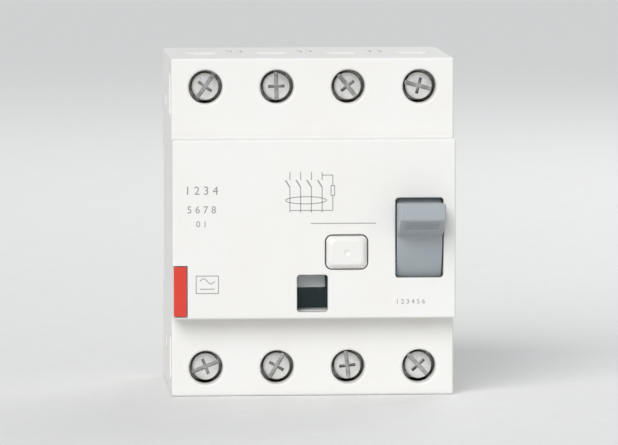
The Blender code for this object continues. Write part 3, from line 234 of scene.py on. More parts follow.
# ------------------------------------------------------------------ shapes
class Sketch:
    """Closed shapes in millimetres, collected in one mesh."""

    def __init__(self) -> None:
        """Start with nothing drawn."""
        self.bm = bmesh.new()

    @staticmethod
    def place(axis: Axis, first: float, second: float, along: float) -> Vector:
        """Place a point of an outline that is drawn across an axis."""
        if axis is Axis.X:
            return Vector((along, first, second))
        if axis is Axis.Y:
            return Vector((first, along, second))
        return Vector((first, second, along))

    def ring(self, outline: Outline, axis: Axis, along: float) -> list[bmesh.types.BMVert]:
        """Add an outline's vertices at a place along an axis."""
        return [self.bm.verts.new(self.place(axis, a, b, along)) for a, b in outline]

    def walls(self, rings: list[list[bmesh.types.BMVert]]) -> None:
        """Join rings of vertices, all of one length, with faces."""
        count = len(rings[0])
        for first, second in zip(rings, rings[1:]):
            for index in range(count):
                after = (index + 1) % count
                self.bm.faces.new((first[index], first[after], second[after], second[index]))

    def loft(self, levels: list[tuple[float, Outline]], axis: Axis) -> "Sketch":
        """Join outlines that lie one behind the other, and close both ends.

        Args:
            levels: a place along the axis and an outline for each level.
            axis: the axis that the levels are spread along.

        Returns:
            The sketch.
        """
        rings = [self.ring(outline, axis, along) for along, outline in levels]
        self.walls(rings)
        self.bm.faces.new(rings[0])
        self.bm.faces.new(rings[-1])
        return self

    def prism(self, outline: Outline, axis: Axis, low: float, high: float) -> "Sketch":
        """Extrude an outline from low to high."""
        return self.loft([(low, outline), (high, outline)], axis)

    def box(self, low: Point3, high: Point3) -> "Sketch":
        """Add a box from its lowest to its highest corner."""
        return self.prism(rectangle(low[0], high[0], low[1], high[1]), Axis.Z, low[2], high[2])

    def cylinder(self, centre: Point2, radius: float, axis: Axis, low: float, high: float,
                 sides: int = 48) -> "Sketch":
        """Add a cylinder."""
        return self.prism(circle(centre, radius, sides), axis, low, high)

    def lathe(self, profile: Outline, centre: Point2, axis: Axis = Axis.Y, steps: int = 64) -> "Sketch":
        """Turn a profile whose two ends lie on the axis.

        Args:
            profile: (radius, place along the axis) points; the first and last radius are 0.
            centre: where the axis crosses the plane across it.
            axis: the axis to turn about.
            steps: flats round the turn.

        Returns:
            The sketch.
        """
        tips = [self.bm.verts.new(self.place(axis, *centre, profile[end][1])) for end in (0, -1)]
        rings = [self.ring(circle(centre, radius, steps), axis, along) for radius, along in profile[1:-1]]
        self.walls(rings)
        for tip, ring in zip(tips, (rings[0], rings[-1])):
            for index in range(steps):
                self.bm.faces.new((tip, ring[index], ring[(index + 1) % steps]))
        return self

    def mouth(self, outline_at: Callable[[float], Outline], face: float, fillet: float,
              inside: float, axis: Axis = Axis.Y, steps: int = 5) -> "Sketch":
        """Add a cutter whose mouth opens in a quarter round.

        Args:
            outline_at: gives the opening's outline, widened by an offset.
            face: place of the face that it enters.
            fillet: radius of the rounding.
            inside: place where the cutter ends.
            axis: the axis that the opening runs along.
            steps: flats in the rounding.

        Returns:
            The sketch.
        """
        inward = math.copysign(1, inside - face)
        levels = [(face - inward * PAST, outline_at(fillet))]
        for index in range(steps + 1):
            angle = math.radians(90 * index / steps)
            depth = fillet * (1 - math.cos(angle))
            levels.append((face + inward * depth, outline_at(fillet * (1 - math.sin(angle)))))
        levels.append((inside, outline_at(0.0)))
        return self.loft(levels, axis)

    def to_object(self, name: str) -> bpy.types.Object:
        """Turn the sketch into an object in metres whose faces point out."""
        bmesh.ops.recalc_face_normals(self.bm, faces=self.bm.faces[:])
        bmesh.ops.scale(self.bm, vec=(MM, MM, MM), verts=self.bm.verts[:])
        mesh = bpy.data.meshes.new(name)
        self.bm.to_mesh(mesh)
        self.bm.free()
        obj = bpy.data.objects.new(name, mesh)
        bpy.context.scene.collection.objects.link(obj)
        return obj


def seat_made(obj: bpy.types.Object, slot: Slot, body: str, *nodes: str) -> None:
    """Give a finished mesh its place in the frame.

    Args:
        obj: the plain mesh, with its material on it.
        slot: the record's material slot; not used.
        body: the CAD body that it rides on.
        nodes: the CAD nodes that it stands for.
    """
    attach(obj, body)
    if nodes:
        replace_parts(obj, *nodes)
    LOG.info("%s: %d faces on %s", obj.name, len(obj.data.polygons), body)


class Workpiece:
    """One piece while it is cut, joined, rounded and dressed."""

    def __init__(self, name: str, sketch: Sketch) -> None:
        """Start from a sketch."""
        self.name = name
        self.obj = sketch.to_object(name)

    def bake(self) -> "Workpiece":
        """Turn the modifiers' result into the piece's own mesh."""
        graph = bpy.context.evaluated_depsgraph_get()
        mesh = bpy.data.meshes.new_from_object(self.obj.evaluated_get(graph))
        old = self.obj.data
        self.obj.modifiers.clear()
        self.obj.data = mesh
        bpy.data.meshes.remove(old)
        mesh.name = self.name
        return self

    def round_edges(self, width: float, segments: int = 3, angle: float = 30.0) -> "Workpiece":
        """Round every edge that is sharper than an angle.

        Args:
            width: radius in millimetres.
            segments: flats in the rounding.
            angle: the smallest fold in degrees that is rounded.

        Returns:
            The piece.
        """
        bevel = self.obj.modifiers.new("round", "BEVEL")
        bevel.width = width * MM
        bevel.segments = segments
        bevel.limit_method = "ANGLE"
        bevel.angle_limit = math.radians(angle)
        # Give a coil spring a mesh of its own.
        return self.bake()

    def combine(self, operation: str, tools: list[bpy.types.Object]) -> "Workpiece":
        """Apply objects as Boolean tools, one after the other, and remove them.

        Args:
            operation: Blender's name for what the tools do.
            tools: closed meshes.

        Returns:
            The piece.
        """
        for tool in tools:
            modifier = self.obj.modifiers.new("tool", "BOOLEAN")
            modifier.operation = operation
            modifier.solver = "EXACT"
            modifier.object = tool
        self.bake()
        for tool in tools:
            mesh = tool.data
            bpy.data.objects.remove(tool)
            bpy.data.meshes.remove(mesh)
        return self

    def cut(self, *tools: Sketch) -> "Workpiece":
        """Take sketches away from the piece."""
        return self.combine("DIFFERENCE", [tool.to_object(self.name + "_tool") for tool in tools])

    def join(self, *tools: Sketch) -> "Workpiece":
        """Add sketches to the piece."""
        return self.combine("UNION", [tool.to_object(self.name + "_tool") for tool in tools])

    def smooth(self, angle: float = 32.0) -> "Workpiece":
        """Shade smooth up to an angle, with flat faces kept flat."""
        mesh = self.obj.data
        work = bmesh.new()
        work.from_mesh(mesh)
        bmesh.ops.dissolve_degenerate(work, edges=work.edges[:], dist=SMALLEST_EDGE)
        work.to_mesh(mesh)
        work.free()
        mesh.shade_smooth()
        mesh.set_sharp_from_angle(angle=math.radians(angle))
        weighted = self.obj.modifiers.new("normals", "WEIGHTED_NORMAL")
        weighted.keep_sharp = True
        weighted.weight = 80
        return self.bake()

    def seat(self, slot: Slot, body: str, *nodes: str, material: bpy.types.Material | None = None) -> None:
        """Give the piece its material and its place in the frame.

        Args:
            slot: the record's material slot.
            body: the CAD body that it rides on.
            nodes: the CAD nodes that it stands for.
            material: the finish, where it isn't the slot's own.
        """
        self.obj.data.materials.clear()
        self.obj.data.materials.append(material or FINISHES[slot])
        seat_made(self.obj, slot, body, *nodes)


# ------------------------------------------------------------------ repeating shapes
class Graph:
    """A node tree that is filled step by step."""

    def __init__(self, tree: bpy.types.NodeTree) -> None:
        """Take the tree to fill."""
        self.tree = tree

    def feed(self, socket: bpy.types.NodeSocket, value: object) -> None:
        """Link a socket, or set its value."""
        if isinstance(value, bpy.types.NodeSocket):
            self.tree.links.new(value, socket)
        else:
            socket.default_value = value

    def node(self, kind: str, inputs: NodeInputs | None = None, **settings: object) -> bpy.types.Node:
        """Add a node.

        Args:
            kind: Blender's name for it.
            inputs: values or sockets for its inputs.
            settings: its own properties.

        Returns:
            The node.
        """
        node = self.tree.nodes.new(kind)
        for key, value in settings.items():
            setattr(node, key, value)
        for key, value in (inputs or {}).items():
            self.feed(node.inputs[key], value)
        return node


class NodeTree(Graph):
    """A geometry node tree with named inputs."""

    def __init__(self, name: str) -> None:
        """Start a tree whose only output is a geometry."""
        super().__init__(bpy.data.node_groups.new(name, "GeometryNodeTree"))
        self.tree.interface.new_socket("Geometry", in_out="OUTPUT", socket_type="NodeSocketGeometry")
        self.entry = self.tree.nodes.new("NodeGroupInput")
        self.exit = self.tree.nodes.new("NodeGroupOutput")
        self.identifiers: dict[str, str] = {}

    def size(self, name: str, kind: str = "NodeSocketFloat") -> bpy.types.NodeSocket:
        """Add a named input and give its socket inside the tree."""
        item = self.tree.interface.new_socket(name, in_out="INPUT", socket_type=kind)
        self.identifiers[name] = item.identifier
        return self.entry.outputs[name]

    def close(self, geometry: bpy.types.NodeSocket, material: bpy.types.NodeSocket,
              smooth_faces: bool = True) -> "NodeTree":
        """End the tree in real geometry with its material.

        Args:
            geometry: what the tree has made.
            material: the finish.
            smooth_faces: whether round pieces are shaded smooth.

        Returns:
            The tree.
        """
        real = self.node("GeometryNodeRealizeInstances", {"Geometry": geometry})
        smooth = self.node("GeometryNodeSetShadeSmooth", {
            "Geometry": real.outputs[0], "Shade Smooth": smooth_faces,
        })
        dressed = self.node("GeometryNodeSetMaterial", {"Geometry": smooth.outputs[0], "Material": material})
        self.tree.links.new(dressed.outputs[0], self.exit.inputs[0])
        return self

    def make(self, name: str, values: dict[str, object]) -> bpy.types.Object:
        """Run the tree and give its result as a plain mesh.

        Args:
            name: the new object's name.
            values: a value for each named input.

        Returns:
            The object, without modifiers.
        """
        obj = bpy.data.objects.new(name, bpy.data.meshes.new(name + "_seed"))
        bpy.context.scene.collection.objects.link(obj)
        modifier = obj.modifiers.new("rule", "NODES")
        modifier.node_group = self.tree
        for key, value in values.items():
            modifier[self.identifiers[key]] = value
        graph = bpy.context.evaluated_depsgraph_get()
        mesh = bpy.data.meshes.new_from_object(obj.evaluated_get(graph))
        old = obj.data
        obj.modifiers.clear()
        obj.data = mesh
        bpy.data.meshes.remove(old)
        mesh.name = name
        return obj


def helix_tree() -> NodeTree:
    """Build the rule for a wire wound along Z.

    Returns:
        A tree with inputs Turns, Radius, Length, Wire, Steps and Material.
    """
    rule = NodeTree("wire_helix")
    turns = rule.size("Turns")
    radius = rule.size("Radius")
    length = rule.size("Length")
    wire = rule.size("Wire")
    steps = rule.size("Steps", "NodeSocketInt")
    material = rule.size("Material", "NodeSocketMaterial")
    spiral = rule.node("GeometryNodeCurveSpiral", {
        "Resolution": steps, "Rotations": turns, "Start Radius": radius, "End Radius": radius,
        "Height": length,
    })
    section = rule.node("GeometryNodeCurvePrimitiveCircle", {"Resolution": 10, "Radius": wire}, mode="RADIUS")
    tube = rule.node("GeometryNodeCurveToMesh", {
        "Curve": spiral.outputs[0], "Profile Curve": section.outputs[0], "Fill Caps": True,
    })
    return rule.close(tube.outputs[0], material)


def row_tree() -> NodeTree:
    """Build the rule for a row of equal bars.

    Returns:
        A tree with inputs Count, Start, Step, Bar and Material.
    """
    rule = NodeTree("bar_row")
    count = rule.size("Count", "NodeSocketInt")
    start = rule.size("Start", "NodeSocketVector")
    step = rule.size("Step", "NodeSocketVector")
    bar = rule.size("Bar", "NodeSocketVector")
    material = rule.size("Material", "NodeSocketMaterial")
    line = rule.node("GeometryNodeMeshLine", {
        "Count": count, "Start Location": start, "Offset": step,
    }, mode="OFFSET")
    cube = rule.node("GeometryNodeMeshCube", {"Size": bar})
    bars = rule.node("GeometryNodeInstanceOnPoints", {"Points": line.outputs[0], "Instance": cube.outputs[0]})
    return rule.close(bars.outputs[0], material, False)


def ring_winding_tree() -> NodeTree:
    """Build the rule for wire wound round a ring core.

    Returns:
        A tree with inputs Turns, Radius, Width, Height, Corner, Wire, Sweep and Material; it lies about Z.
    """
    rule = NodeTree("ring_winding")
    turns = rule.size("Turns", "NodeSocketInt")
    radius = rule.size("Radius")
    width = rule.size("Width")
    height = rule.size("Height")
    corner = rule.size("Corner")
    wire = rule.size("Wire")
    sweep = rule.size("Sweep")
    material = rule.size("Material", "NodeSocketMaterial")
    arc = rule.node("GeometryNodeCurveArc", {
        "Resolution": turns, "Radius": radius, "Start Angle": 0.0, "Sweep Angle": sweep,
    }, mode="RADIUS")
    points = rule.node("GeometryNodeCurveToPoints", {"Curve": arc.outputs[0]}, mode="EVALUATED")
    loop = rule.node("GeometryNodeCurvePrimitiveQuadrilateral", {
        "Width": width, "Height": height,
    }, mode="RECTANGLE")
    soft_loop = rule.node("GeometryNodeFilletCurve", {
        "Curve": loop.outputs[0], "Radius": corner, "Count": 3,
    }, mode="POLY")
    section = rule.node("GeometryNodeCurvePrimitiveCircle", {"Resolution": 6, "Radius": wire}, mode="RADIUS")
    turn = rule.node("GeometryNodeCurveToMesh", {
        "Curve": soft_loop.outputs[0], "Profile Curve": section.outputs[0],
    })
    wound = rule.node("GeometryNodeInstanceOnPoints", {
        "Points": points.outputs["Points"], "Instance": turn.outputs[0],
        "Rotation": points.outputs["Rotation"],
    })
    return rule.close(wound.outputs[0], material)


# ------------------------------------------------------------------ finishes
class ShaderGraph(Graph):
    """The node tree of one material with a Principled shader."""

    def __init__(self, name: str) -> None:
        """Start the material with its shader and Object coordinates."""
        self.material = bpy.data.materials.new(name)
        self.material.use_nodes = True
        super().__init__(self.material.node_tree)
        self.tree.nodes.clear()
        output = self.tree.nodes.new("ShaderNodeOutputMaterial")
        self.shader = self.tree.nodes.new("ShaderNodeBsdfPrincipled")
        self.tree.links.new(self.shader.outputs[0], output.inputs["Surface"])
        self.coordinates = self.tree.nodes.new("ShaderNodeTexCoord").outputs["Object"]

    def noise(self, size: float, detail: float = 2.0,
              stretch: Point3 = (1.0, 1.0, 1.0)) -> bpy.types.NodeSocket:
        """Add cloudy noise.

        Args:
            size: size of its spots in millimetres.
            detail: octaves of finer noise.
            stretch: how much longer the spots are along each axis.

        Returns:
            The noise's factor.
        """
        scale = tuple(1.0 / part for part in stretch)
        mapping = self.node("ShaderNodeMapping", {"Vector": self.coordinates, "Scale": scale})
        noise = self.node("ShaderNodeTexNoise", {
            "Vector": mapping.outputs[0], "Scale": 1.0 / (size * MM), "Detail": detail, "Roughness": 0.55,
        })
        return noise.outputs["Fac"]

    def span(self, factor: bpy.types.NodeSocket, low: float, high: float) -> bpy.types.NodeSocket:
        """Spread the middle of a noise over a range of values."""
        ranged = self.node("ShaderNodeMapRange", {
            "Value": factor, "From Min": 0.3, "From Max": 0.7, "To Min": low, "To Max": high,
        })
        return ranged.outputs[0]

    def blend(self, factor: object, first: object, second: object) -> bpy.types.NodeSocket:
        """Mix two colours."""
        mix = self.node("ShaderNodeMix", data_type="RGBA")
        self.feed(mix.inputs[0], factor)
        for socket, value in ((mix.inputs[6], first), (mix.inputs[7], second)):
            self.feed(socket, (*value, 1.0) if isinstance(value, tuple) and len(value) == 3 else value)
        return mix.outputs[2]

    def relief(self, height: bpy.types.NodeSocket, depth: float, strength: float,
               under: bpy.types.NodeSocket | None = None) -> bpy.types.NodeSocket:
        """Turn a height into a bumped normal.

        Args:
            height: the height's socket.
            depth: depth in millimetres.
            strength: how strongly it shows.
            under: a normal to add to.

        Returns:
            The normal.
        """
        bump = self.node("ShaderNodeBump", {"Height": height, "Distance": depth * MM, "Strength": strength})
        if under is not None:
            self.feed(bump.inputs["Normal"], under)
        return bump.outputs[0]

    def wear(self, colour: object, edge_colour: Colour, amount: float) -> bpy.types.NodeSocket:
        """Lighten or darken the convex edges in patches, a painted edge highlight that also stands for
        rubbing wear.

        Args:
            colour: the colour away from the edges.
            edge_colour: the colour on them, the painted highlight.
            amount: the largest share of it.

        Returns:
            The mixed colour.
        """
        # painted edge highlight: Pointiness picks the convex edges, which get the lighter colour in patches
        pointed = self.node("ShaderNodeNewGeometry").outputs["Pointiness"]
        edge = self.node("ShaderNodeMapRange", {
            "Value": pointed, "From Min": 0.52, "From Max": 0.60, "To Min": 0.0, "To Max": amount,
        }).outputs[0]
        patchy = self.node("ShaderNodeMath", {0: edge, 1: self.span(self.noise(3.0, 3.0), 0.2, 1.0)},
                           operation="MULTIPLY")
        return self.blend(patchy.outputs[0], colour, edge_colour)

    def dust(self, colour: object, dark: Colour, amount: float, reach: float) -> bpy.types.NodeSocket:
        """Darken the recesses that ambient occlusion finds, in patches: painted shade, with some dust.

        Args:
            colour: the colour away from the recesses.
            dark: the colour of the painted shade and dust.
            amount: the largest share of it.
            reach: how far the painted shade reaches out of the recesses, in millimetres.

        Returns:
            The mixed colour.
        """
        # painted shade: ambient occlusion darkens corners, creases and recesses, with noise for patchy dust
        shade = self.node("ShaderNodeAmbientOcclusion", {"Distance": reach * MM}, samples=8).outputs["AO"]
        share = self.node("ShaderNodeMapRange", {
            "Value": shade, "From Min": 0.35, "From Max": 0.95, "To Min": amount, "To Max": 0.0,
        }).outputs[0]
        patchy = self.node("ShaderNodeMath", {0: share, 1: self.span(self.noise(1.6, 3.0), 0.5, 1.0)},
                           operation="MULTIPLY")
        return self.blend(patchy.outputs[0], colour, dark)

    def close(self, **values: object) -> bpy.types.Material:
        """Set the shader's sockets and give the material.

        Args:
            values: socket names with _ for spaces, and their values or links.

        Returns:
            The material.
        """
        for key, value in values.items():
            self.feed(self.shader.inputs[key.replace("_", " ")], value)
        return self.material


def shade_of(colour: Colour, share: float) -> Colour:
    """Make a colour darker or lighter by a share."""
    return tuple(min(part * share, 1.0) for part in colour)


@dataclass(frozen=True)
class MouldedPlastic:
    """Injection-moulded plastic with a spark-eroded surface."""

    name: str
    colour: Colour
    roughness: float = 0.5
    grain: float = 0.28
    depth: float = 0.02
    drift: float = 0.03
    # share of painted shade, with some dust, in the recesses
    dust: float = 0.25

    def material(self) -> bpy.types.Material:
        """Build the material."""
        graph = ShaderGraph(self.name)
        cloud = graph.span(graph.noise(14.0, detail=3.0), 0.0, 1.0)
        warm = (self.colour[0] * (1 - self.drift * 0.4), self.colour[1] * (1 - self.drift * 0.7),
                self.colour[2] * (1 - self.drift * 1.6))
        colour = graph.blend(cloud, self.colour, warm)
        speck = graph.span(graph.noise(0.6, detail=1.0), 0.0, self.drift * 1.5)
        colour = graph.blend(speck, colour, shade_of(self.colour, 0.82))
        # painted edge highlight, partly rubbing wear: convex edges up to 10% lighter
        colour = graph.wear(colour, shade_of(self.colour, 1.10), 0.35)
        # painted shade, with some dust: recesses darkened towards 45% of the colour
        colour = graph.dust(colour, shade_of(self.colour, 0.45), self.dust, 2.2)
        fine = graph.relief(graph.noise(self.grain, 2.0), self.depth, 0.5)
        coarse = graph.relief(graph.noise(9.0, detail=1.0), 0.05, 0.25, fine)
        rough = graph.span(graph.noise(5.0, detail=3.0), self.roughness - 0.06, self.roughness + 0.06)
        return graph.close(Base_Color=colour, Roughness=rough, Normal=coarse, IOR=1.53,
                           Specular_IOR_Level=0.45)


@dataclass(frozen=True)
class PlatedMetal:
    """Rolled, turned or drawn metal, bright or plated."""

    name: str
    colour: Colour
    roughness: float = 0.3
    grain: float = 0.25
    stretch: Point3 = (1.0, 1.0, 1.0)
    depth: float = 0.01
    stain: Colour = (0.52, 0.50, 0.45)
    stained: float = 0.18
    # share of painted shade, with some dust, in the recesses and screw slots
    dust: float = 0.85

    def material(self) -> bpy.types.Material:
        """Build the material."""
        graph = ShaderGraph(self.name)
        patch = graph.span(graph.noise(1.8, detail=4.0), 0.0, 1.0)
        colour = graph.blend(patch, self.colour, shade_of(self.colour, 0.86))
        tarnish = graph.span(graph.noise(3.1, detail=5.0), -self.stained, self.stained)
        colour = graph.blend(tarnish, colour, self.stain)
        # painted edge highlight, partly rubbing wear: convex edges up to 20% lighter
        colour = graph.wear(colour, shade_of(self.colour, 1.2), 0.5)
        # painted shade, with some dust: recesses and slots darkened towards 10% of the colour
        colour = graph.dust(colour, shade_of(self.colour, 0.10), self.dust, 1.2)
        drawn = graph.noise(self.grain, 3.0, self.stretch)
        normal = graph.relief(drawn, self.depth, 0.35)
        rough = graph.span(graph.noise(0.9, 3.0, self.stretch), self.roughness - 0.08, self.roughness + 0.12)
        return graph.close(Base_Color=colour, Roughness=rough, Normal=normal, Metallic=1.0)


@dataclass(frozen=True)
class ClearPlastic:
    """A thin polished window, seen through nearly everywhere."""

    name: str
    colour: Colour
    cover: float = 0.06

    def material(self) -> bpy.types.Material:
        """Build the material."""
        graph = ShaderGraph(self.name)
        rough = graph.span(graph.noise(2.4, detail=3.0), 0.03, 0.10)
        patch = graph.span(graph.noise(6.0, detail=2.0), 0.0, 1.0)
        tint = graph.blend(patch, self.colour, shade_of(self.colour, 0.96))
        normal = graph.relief(graph.noise(4.0, detail=1.0), 0.01, 0.1)
        return graph.close(Base_Color=tint, Roughness=rough, Normal=normal, IOR=1.49, Alpha=self.cover)


@dataclass(frozen=True)
class EnamelledWire:
    """Copper wire under a clear varnish."""

    name: str
    colour: Colour

    def material(self) -> bpy.types.Material:
        """Build the material."""
        graph = ShaderGraph(self.name)
        patch = graph.span(graph.noise(1.2, detail=3.0), 0.0, 1.0)
        colour = graph.blend(patch, self.colour, shade_of(self.colour, 0.7))
        normal = graph.relief(graph.noise(0.4, detail=2.0), 0.01, 0.3)
        rough = graph.span(graph.noise(0.8, detail=2.0), 0.22, 0.36)
        return graph.close(Base_Color=colour, Roughness=rough, Normal=normal, Metallic=0.7,
                           Coat_Weight=0.6, Coat_Roughness=0.12)


@dataclass(frozen=True)
class BandedBody:
    """A lacquered resistor with colour bands across its axis, along X."""

    name: str
    colour: Colour
    bands: tuple[Colour, ...]
    first: float
    pitch: float
    band: float = 0.8

    def material(self) -> bpy.types.Material:
        """Build the material."""
        graph = ShaderGraph(self.name)
        along = graph.node("ShaderNodeSeparateXYZ", {0: graph.coordinates}).outputs[0]
        patch = graph.span(graph.noise(1.0, detail=3.0), 0.0, 1.0)
        colour = graph.blend(patch, self.colour, shade_of(self.colour, 0.85))
        for number, band in enumerate(self.bands):
            middle = (self.first + number * self.pitch) * MM
            inside = graph.node("ShaderNodeMath", {0: along, 1: middle, 2: self.band / 2 * MM},
                                operation="COMPARE")
            colour = graph.blend(inside.outputs[0], colour, band)
        normal = graph.relief(graph.noise(0.7, detail=2.0), 0.02, 0.3)
        return graph.close(Base_Color=colour, Roughness=graph.span(patch, 0.25, 0.35), Normal=normal,
                           Coat_Weight=0.4, Coat_Roughness=0.1)


@dataclass(frozen=True)
class SleevedConductor:
    """A copper conductor in a rubber sleeve that ends above its bare tab."""

    name: str
    sleeve: Colour
    copper: Colour
    bare_below: float
    roughness: float = 0.42

    def material(self) -> bpy.types.Material:
        """Build the material."""
        graph = ShaderGraph(self.name)
        upright = graph.node("ShaderNodeSeparateXYZ", {0: graph.coordinates}).outputs[2]
        sleeved = graph.node("ShaderNodeMath", {0: upright, 1: self.bare_below * MM},
                             operation="GREATER_THAN").outputs[0]
        patch = graph.span(graph.noise(1.5, detail=3.0), 0.0, 1.0)
        bare = graph.blend(patch, self.copper, shade_of(self.copper, 0.8))
        rubber = graph.blend(patch, self.sleeve, shade_of(self.sleeve, 0.85))
        # painted shade, with some dust: the sleeve's recesses darkened towards 45% of its colour
        rubber = graph.dust(rubber, shade_of(self.sleeve, 0.45), 0.3, 1.2)
        metallic = graph.node("ShaderNodeMath", {0: 1.0, 1: sleeved}, operation="SUBTRACT").outputs[0]
        normal = graph.relief(graph.noise(0.5, detail=2.0), 0.015, 0.35)
        rough = graph.span(graph.noise(1.1, detail=3.0), self.roughness - 0.08, self.roughness + 0.08)
        return graph.close(Base_Color=graph.blend(sleeved, bare, rubber), Metallic=metallic, Roughness=rough,
                           Normal=normal)


class Finishes:
    """Every finish of the device, built once."""

    def __init__(self) -> None:
        """Build the materials of all slots."""
        white = MouldedPlastic("moulded_off_white", (0.81, 0.805, 0.79), roughness=0.52)
        pale = MouldedPlastic("smooth_off_white", (0.80, 0.795, 0.78), roughness=0.42, grain=0.5, depth=0.01)
        lever = MouldedPlastic("lever_grey", (0.335, 0.372, 0.405), roughness=0.43, grain=0.24, depth=0.015,
                               drift=0.04, dust=0.35)
        inner = MouldedPlastic("moulded_black", (0.028, 0.028, 0.030), grain=0.3, drift=0.05, dust=0.1)
        clip = MouldedPlastic("clip_black", (0.030, 0.031, 0.034), roughness=0.44, grain=0.35, drift=0.05,
                              dust=0.1)
        flag = MouldedPlastic("flag_light_grey", (0.84, 0.86, 0.87), grain=0.4, depth=0.01)
        marker = MouldedPlastic("marker_red", (0.66, 0.045, 0.025), roughness=0.38, grain=0.3, depth=0.01,
                                drift=0.06, dust=0.2)
        sleeve = SleevedConductor("sleeved_conductor", (0.06, 0.15, 0.36), (0.80, 0.45, 0.30),
                                  bare_below=-21.9)
        ferrite = MouldedPlastic("ring_core", (0.07, 0.07, 0.075), roughness=0.62, grain=0.2, depth=0.03,
                                 drift=0.08, dust=0.2)
        copper = PlatedMetal("bright_copper", (0.80, 0.45, 0.30), grain=0.3, stretch=(1.0, 1.0, 5.0),
                             stain=(0.28, 0.12, 0.07), stained=0.4)
        bands = ((0.30, 0.03, 0.02), (0.02, 0.02, 0.02), (0.45, 0.08, 0.01), (0.5, 0.36, 0.1))
        resistor = BandedBody("lacquered_resistor", (0.50, 0.40, 0.26), bands, first=8.2, pitch=2.0)
        recipes = {
            Slot.HOUSING: white,
            Slot.PALE: pale,
            Slot.LEVER: lever,
            Slot.INNER: inner,
            Slot.CLIP: clip,
            Slot.FLAG: flag,
            Slot.MARKER: marker,
            Slot.SLEEVE: sleeve,
            Slot.FERRITE: ferrite,
            Slot.ZINC: PlatedMetal("bright_zinc", (0.95, 0.95, 0.93), roughness=0.32),
            Slot.COPPER: copper,
            Slot.WINDING: EnamelledWire("enamelled_wire", (0.48, 0.17, 0.06)),
            Slot.LENS: ClearPlastic("clear_window", (0.16, 0.24, 0.26)),
            Slot.RESISTOR: resistor,
        }
        self.of = {slot: recipe.material() for slot, recipe in recipes.items()}
        ink = MouldedPlastic("grey_ink", (0.30, 0.31, 0.33), grain=0.3, depth=0.005, drift=0.08, dust=0.0)
        floor = MouldedPlastic("studio_floor", (0.78, 0.78, 0.775), roughness=0.7, grain=1.5, drift=0.02,
                               dust=0.0)
        self.ink = ink.material()
        self.floor = floor.material()

    def __getitem__(self, slot: Slot) -> bpy.types.Material:
        """Give a slot's material."""
        return self.of[slot]


# ------------------------------------------------------------------ the device's shared sizes
FINISHES = Finishes()
HELIX = helix_tree()
ROW = row_tree()
RING_WINDING = ring_winding_tree()
COVER_LOW, COVER_HIGH = node_box("front_cover")
BASE_LOW, BASE_HIGH = node_box("rear_housing")
TERMINALS = [node_middle("terminal_screw_" + str(number)) for number in range(1, 9)]
FASTENERS = [node_middle("housing_screw_" + str(number)) for number in range(1, 5)]
POLE_PITCH = TERMINALS[1].x - TERMINALS[0].x


@dataclass
class Mouldings:
    """Sizes that the cover and the base share, in millimetres."""

    half_width: float = COVER_HIGH.x
    half_height: float = COVER_HIGH.z
    nose: float = COVER_LOW.y
    cover_back: float = COVER_HIGH.y
    parting: float = BASE_LOW.y
    foot: float = BASE_HIGH.y
    shoulder: float = -44.0
    nose_half: float = 22.6
    wall: float = 2.0
    edge: float = 0.6
    rib: float = 1.6
    bay_start: float = 24.0
    boss: float = 3.0
    hole: float = 1.7
    lip: float = 0.8
    lip_reach: float = 1.3
    lip_play: float = 0.1
    lip_corners: Point2 = (0.8, 0.4)

    def hollow(self) -> Outline:
        """Draw the inside: a wide middle, with one bay for each pole at both ends."""
        inner = self.half_width - self.wall
        edges = [-inner]
        for rib in (-POLE_PITCH, 0.0, POLE_PITCH):
            edges += [rib - self.rib / 2, rib + self.rib / 2]
        edges.append(inner)
        bays = list(zip(edges[::2], edges[1::2]))
        end = self.half_height - self.wall
        points = []
        for left, right in bays:
            points += [(left, self.bay_start), (left, end), (right, end), (right, self.bay_start)]
        for left, right in reversed(bays):
            points += [(right, -self.bay_start), (right, -end), (left, -end), (left, -self.bay_start)]
        return points

    def lip_frame(self, play: float, front: float, back: float) -> tuple[Sketch, Sketch]:
        """Draw the frame that laps over the joint between cover and base.

        Args:
            play: how much thicker it is on each side.
            front: its front in Y.
            back: its back in Y.

        Returns:
            The frame's outside and the space inside it.
        """
        inset = self.wall - self.lip - self.lip_play
        width = 2 * (self.half_width - inset + play)
        height = 2 * (self.half_height - inset + play)
        thin = 2 * (self.lip + 2 * play)
        outer, inner = self.lip_corners
        outside = Sketch().prism(rounded((0, 0), width, height, outer, 3), Axis.Y, front, back)
        room = rounded((0, 0), width - thin, height - thin, inner, 3)
        return outside, Sketch().prism(room, Axis.Y, front - PAST, back + PAST)


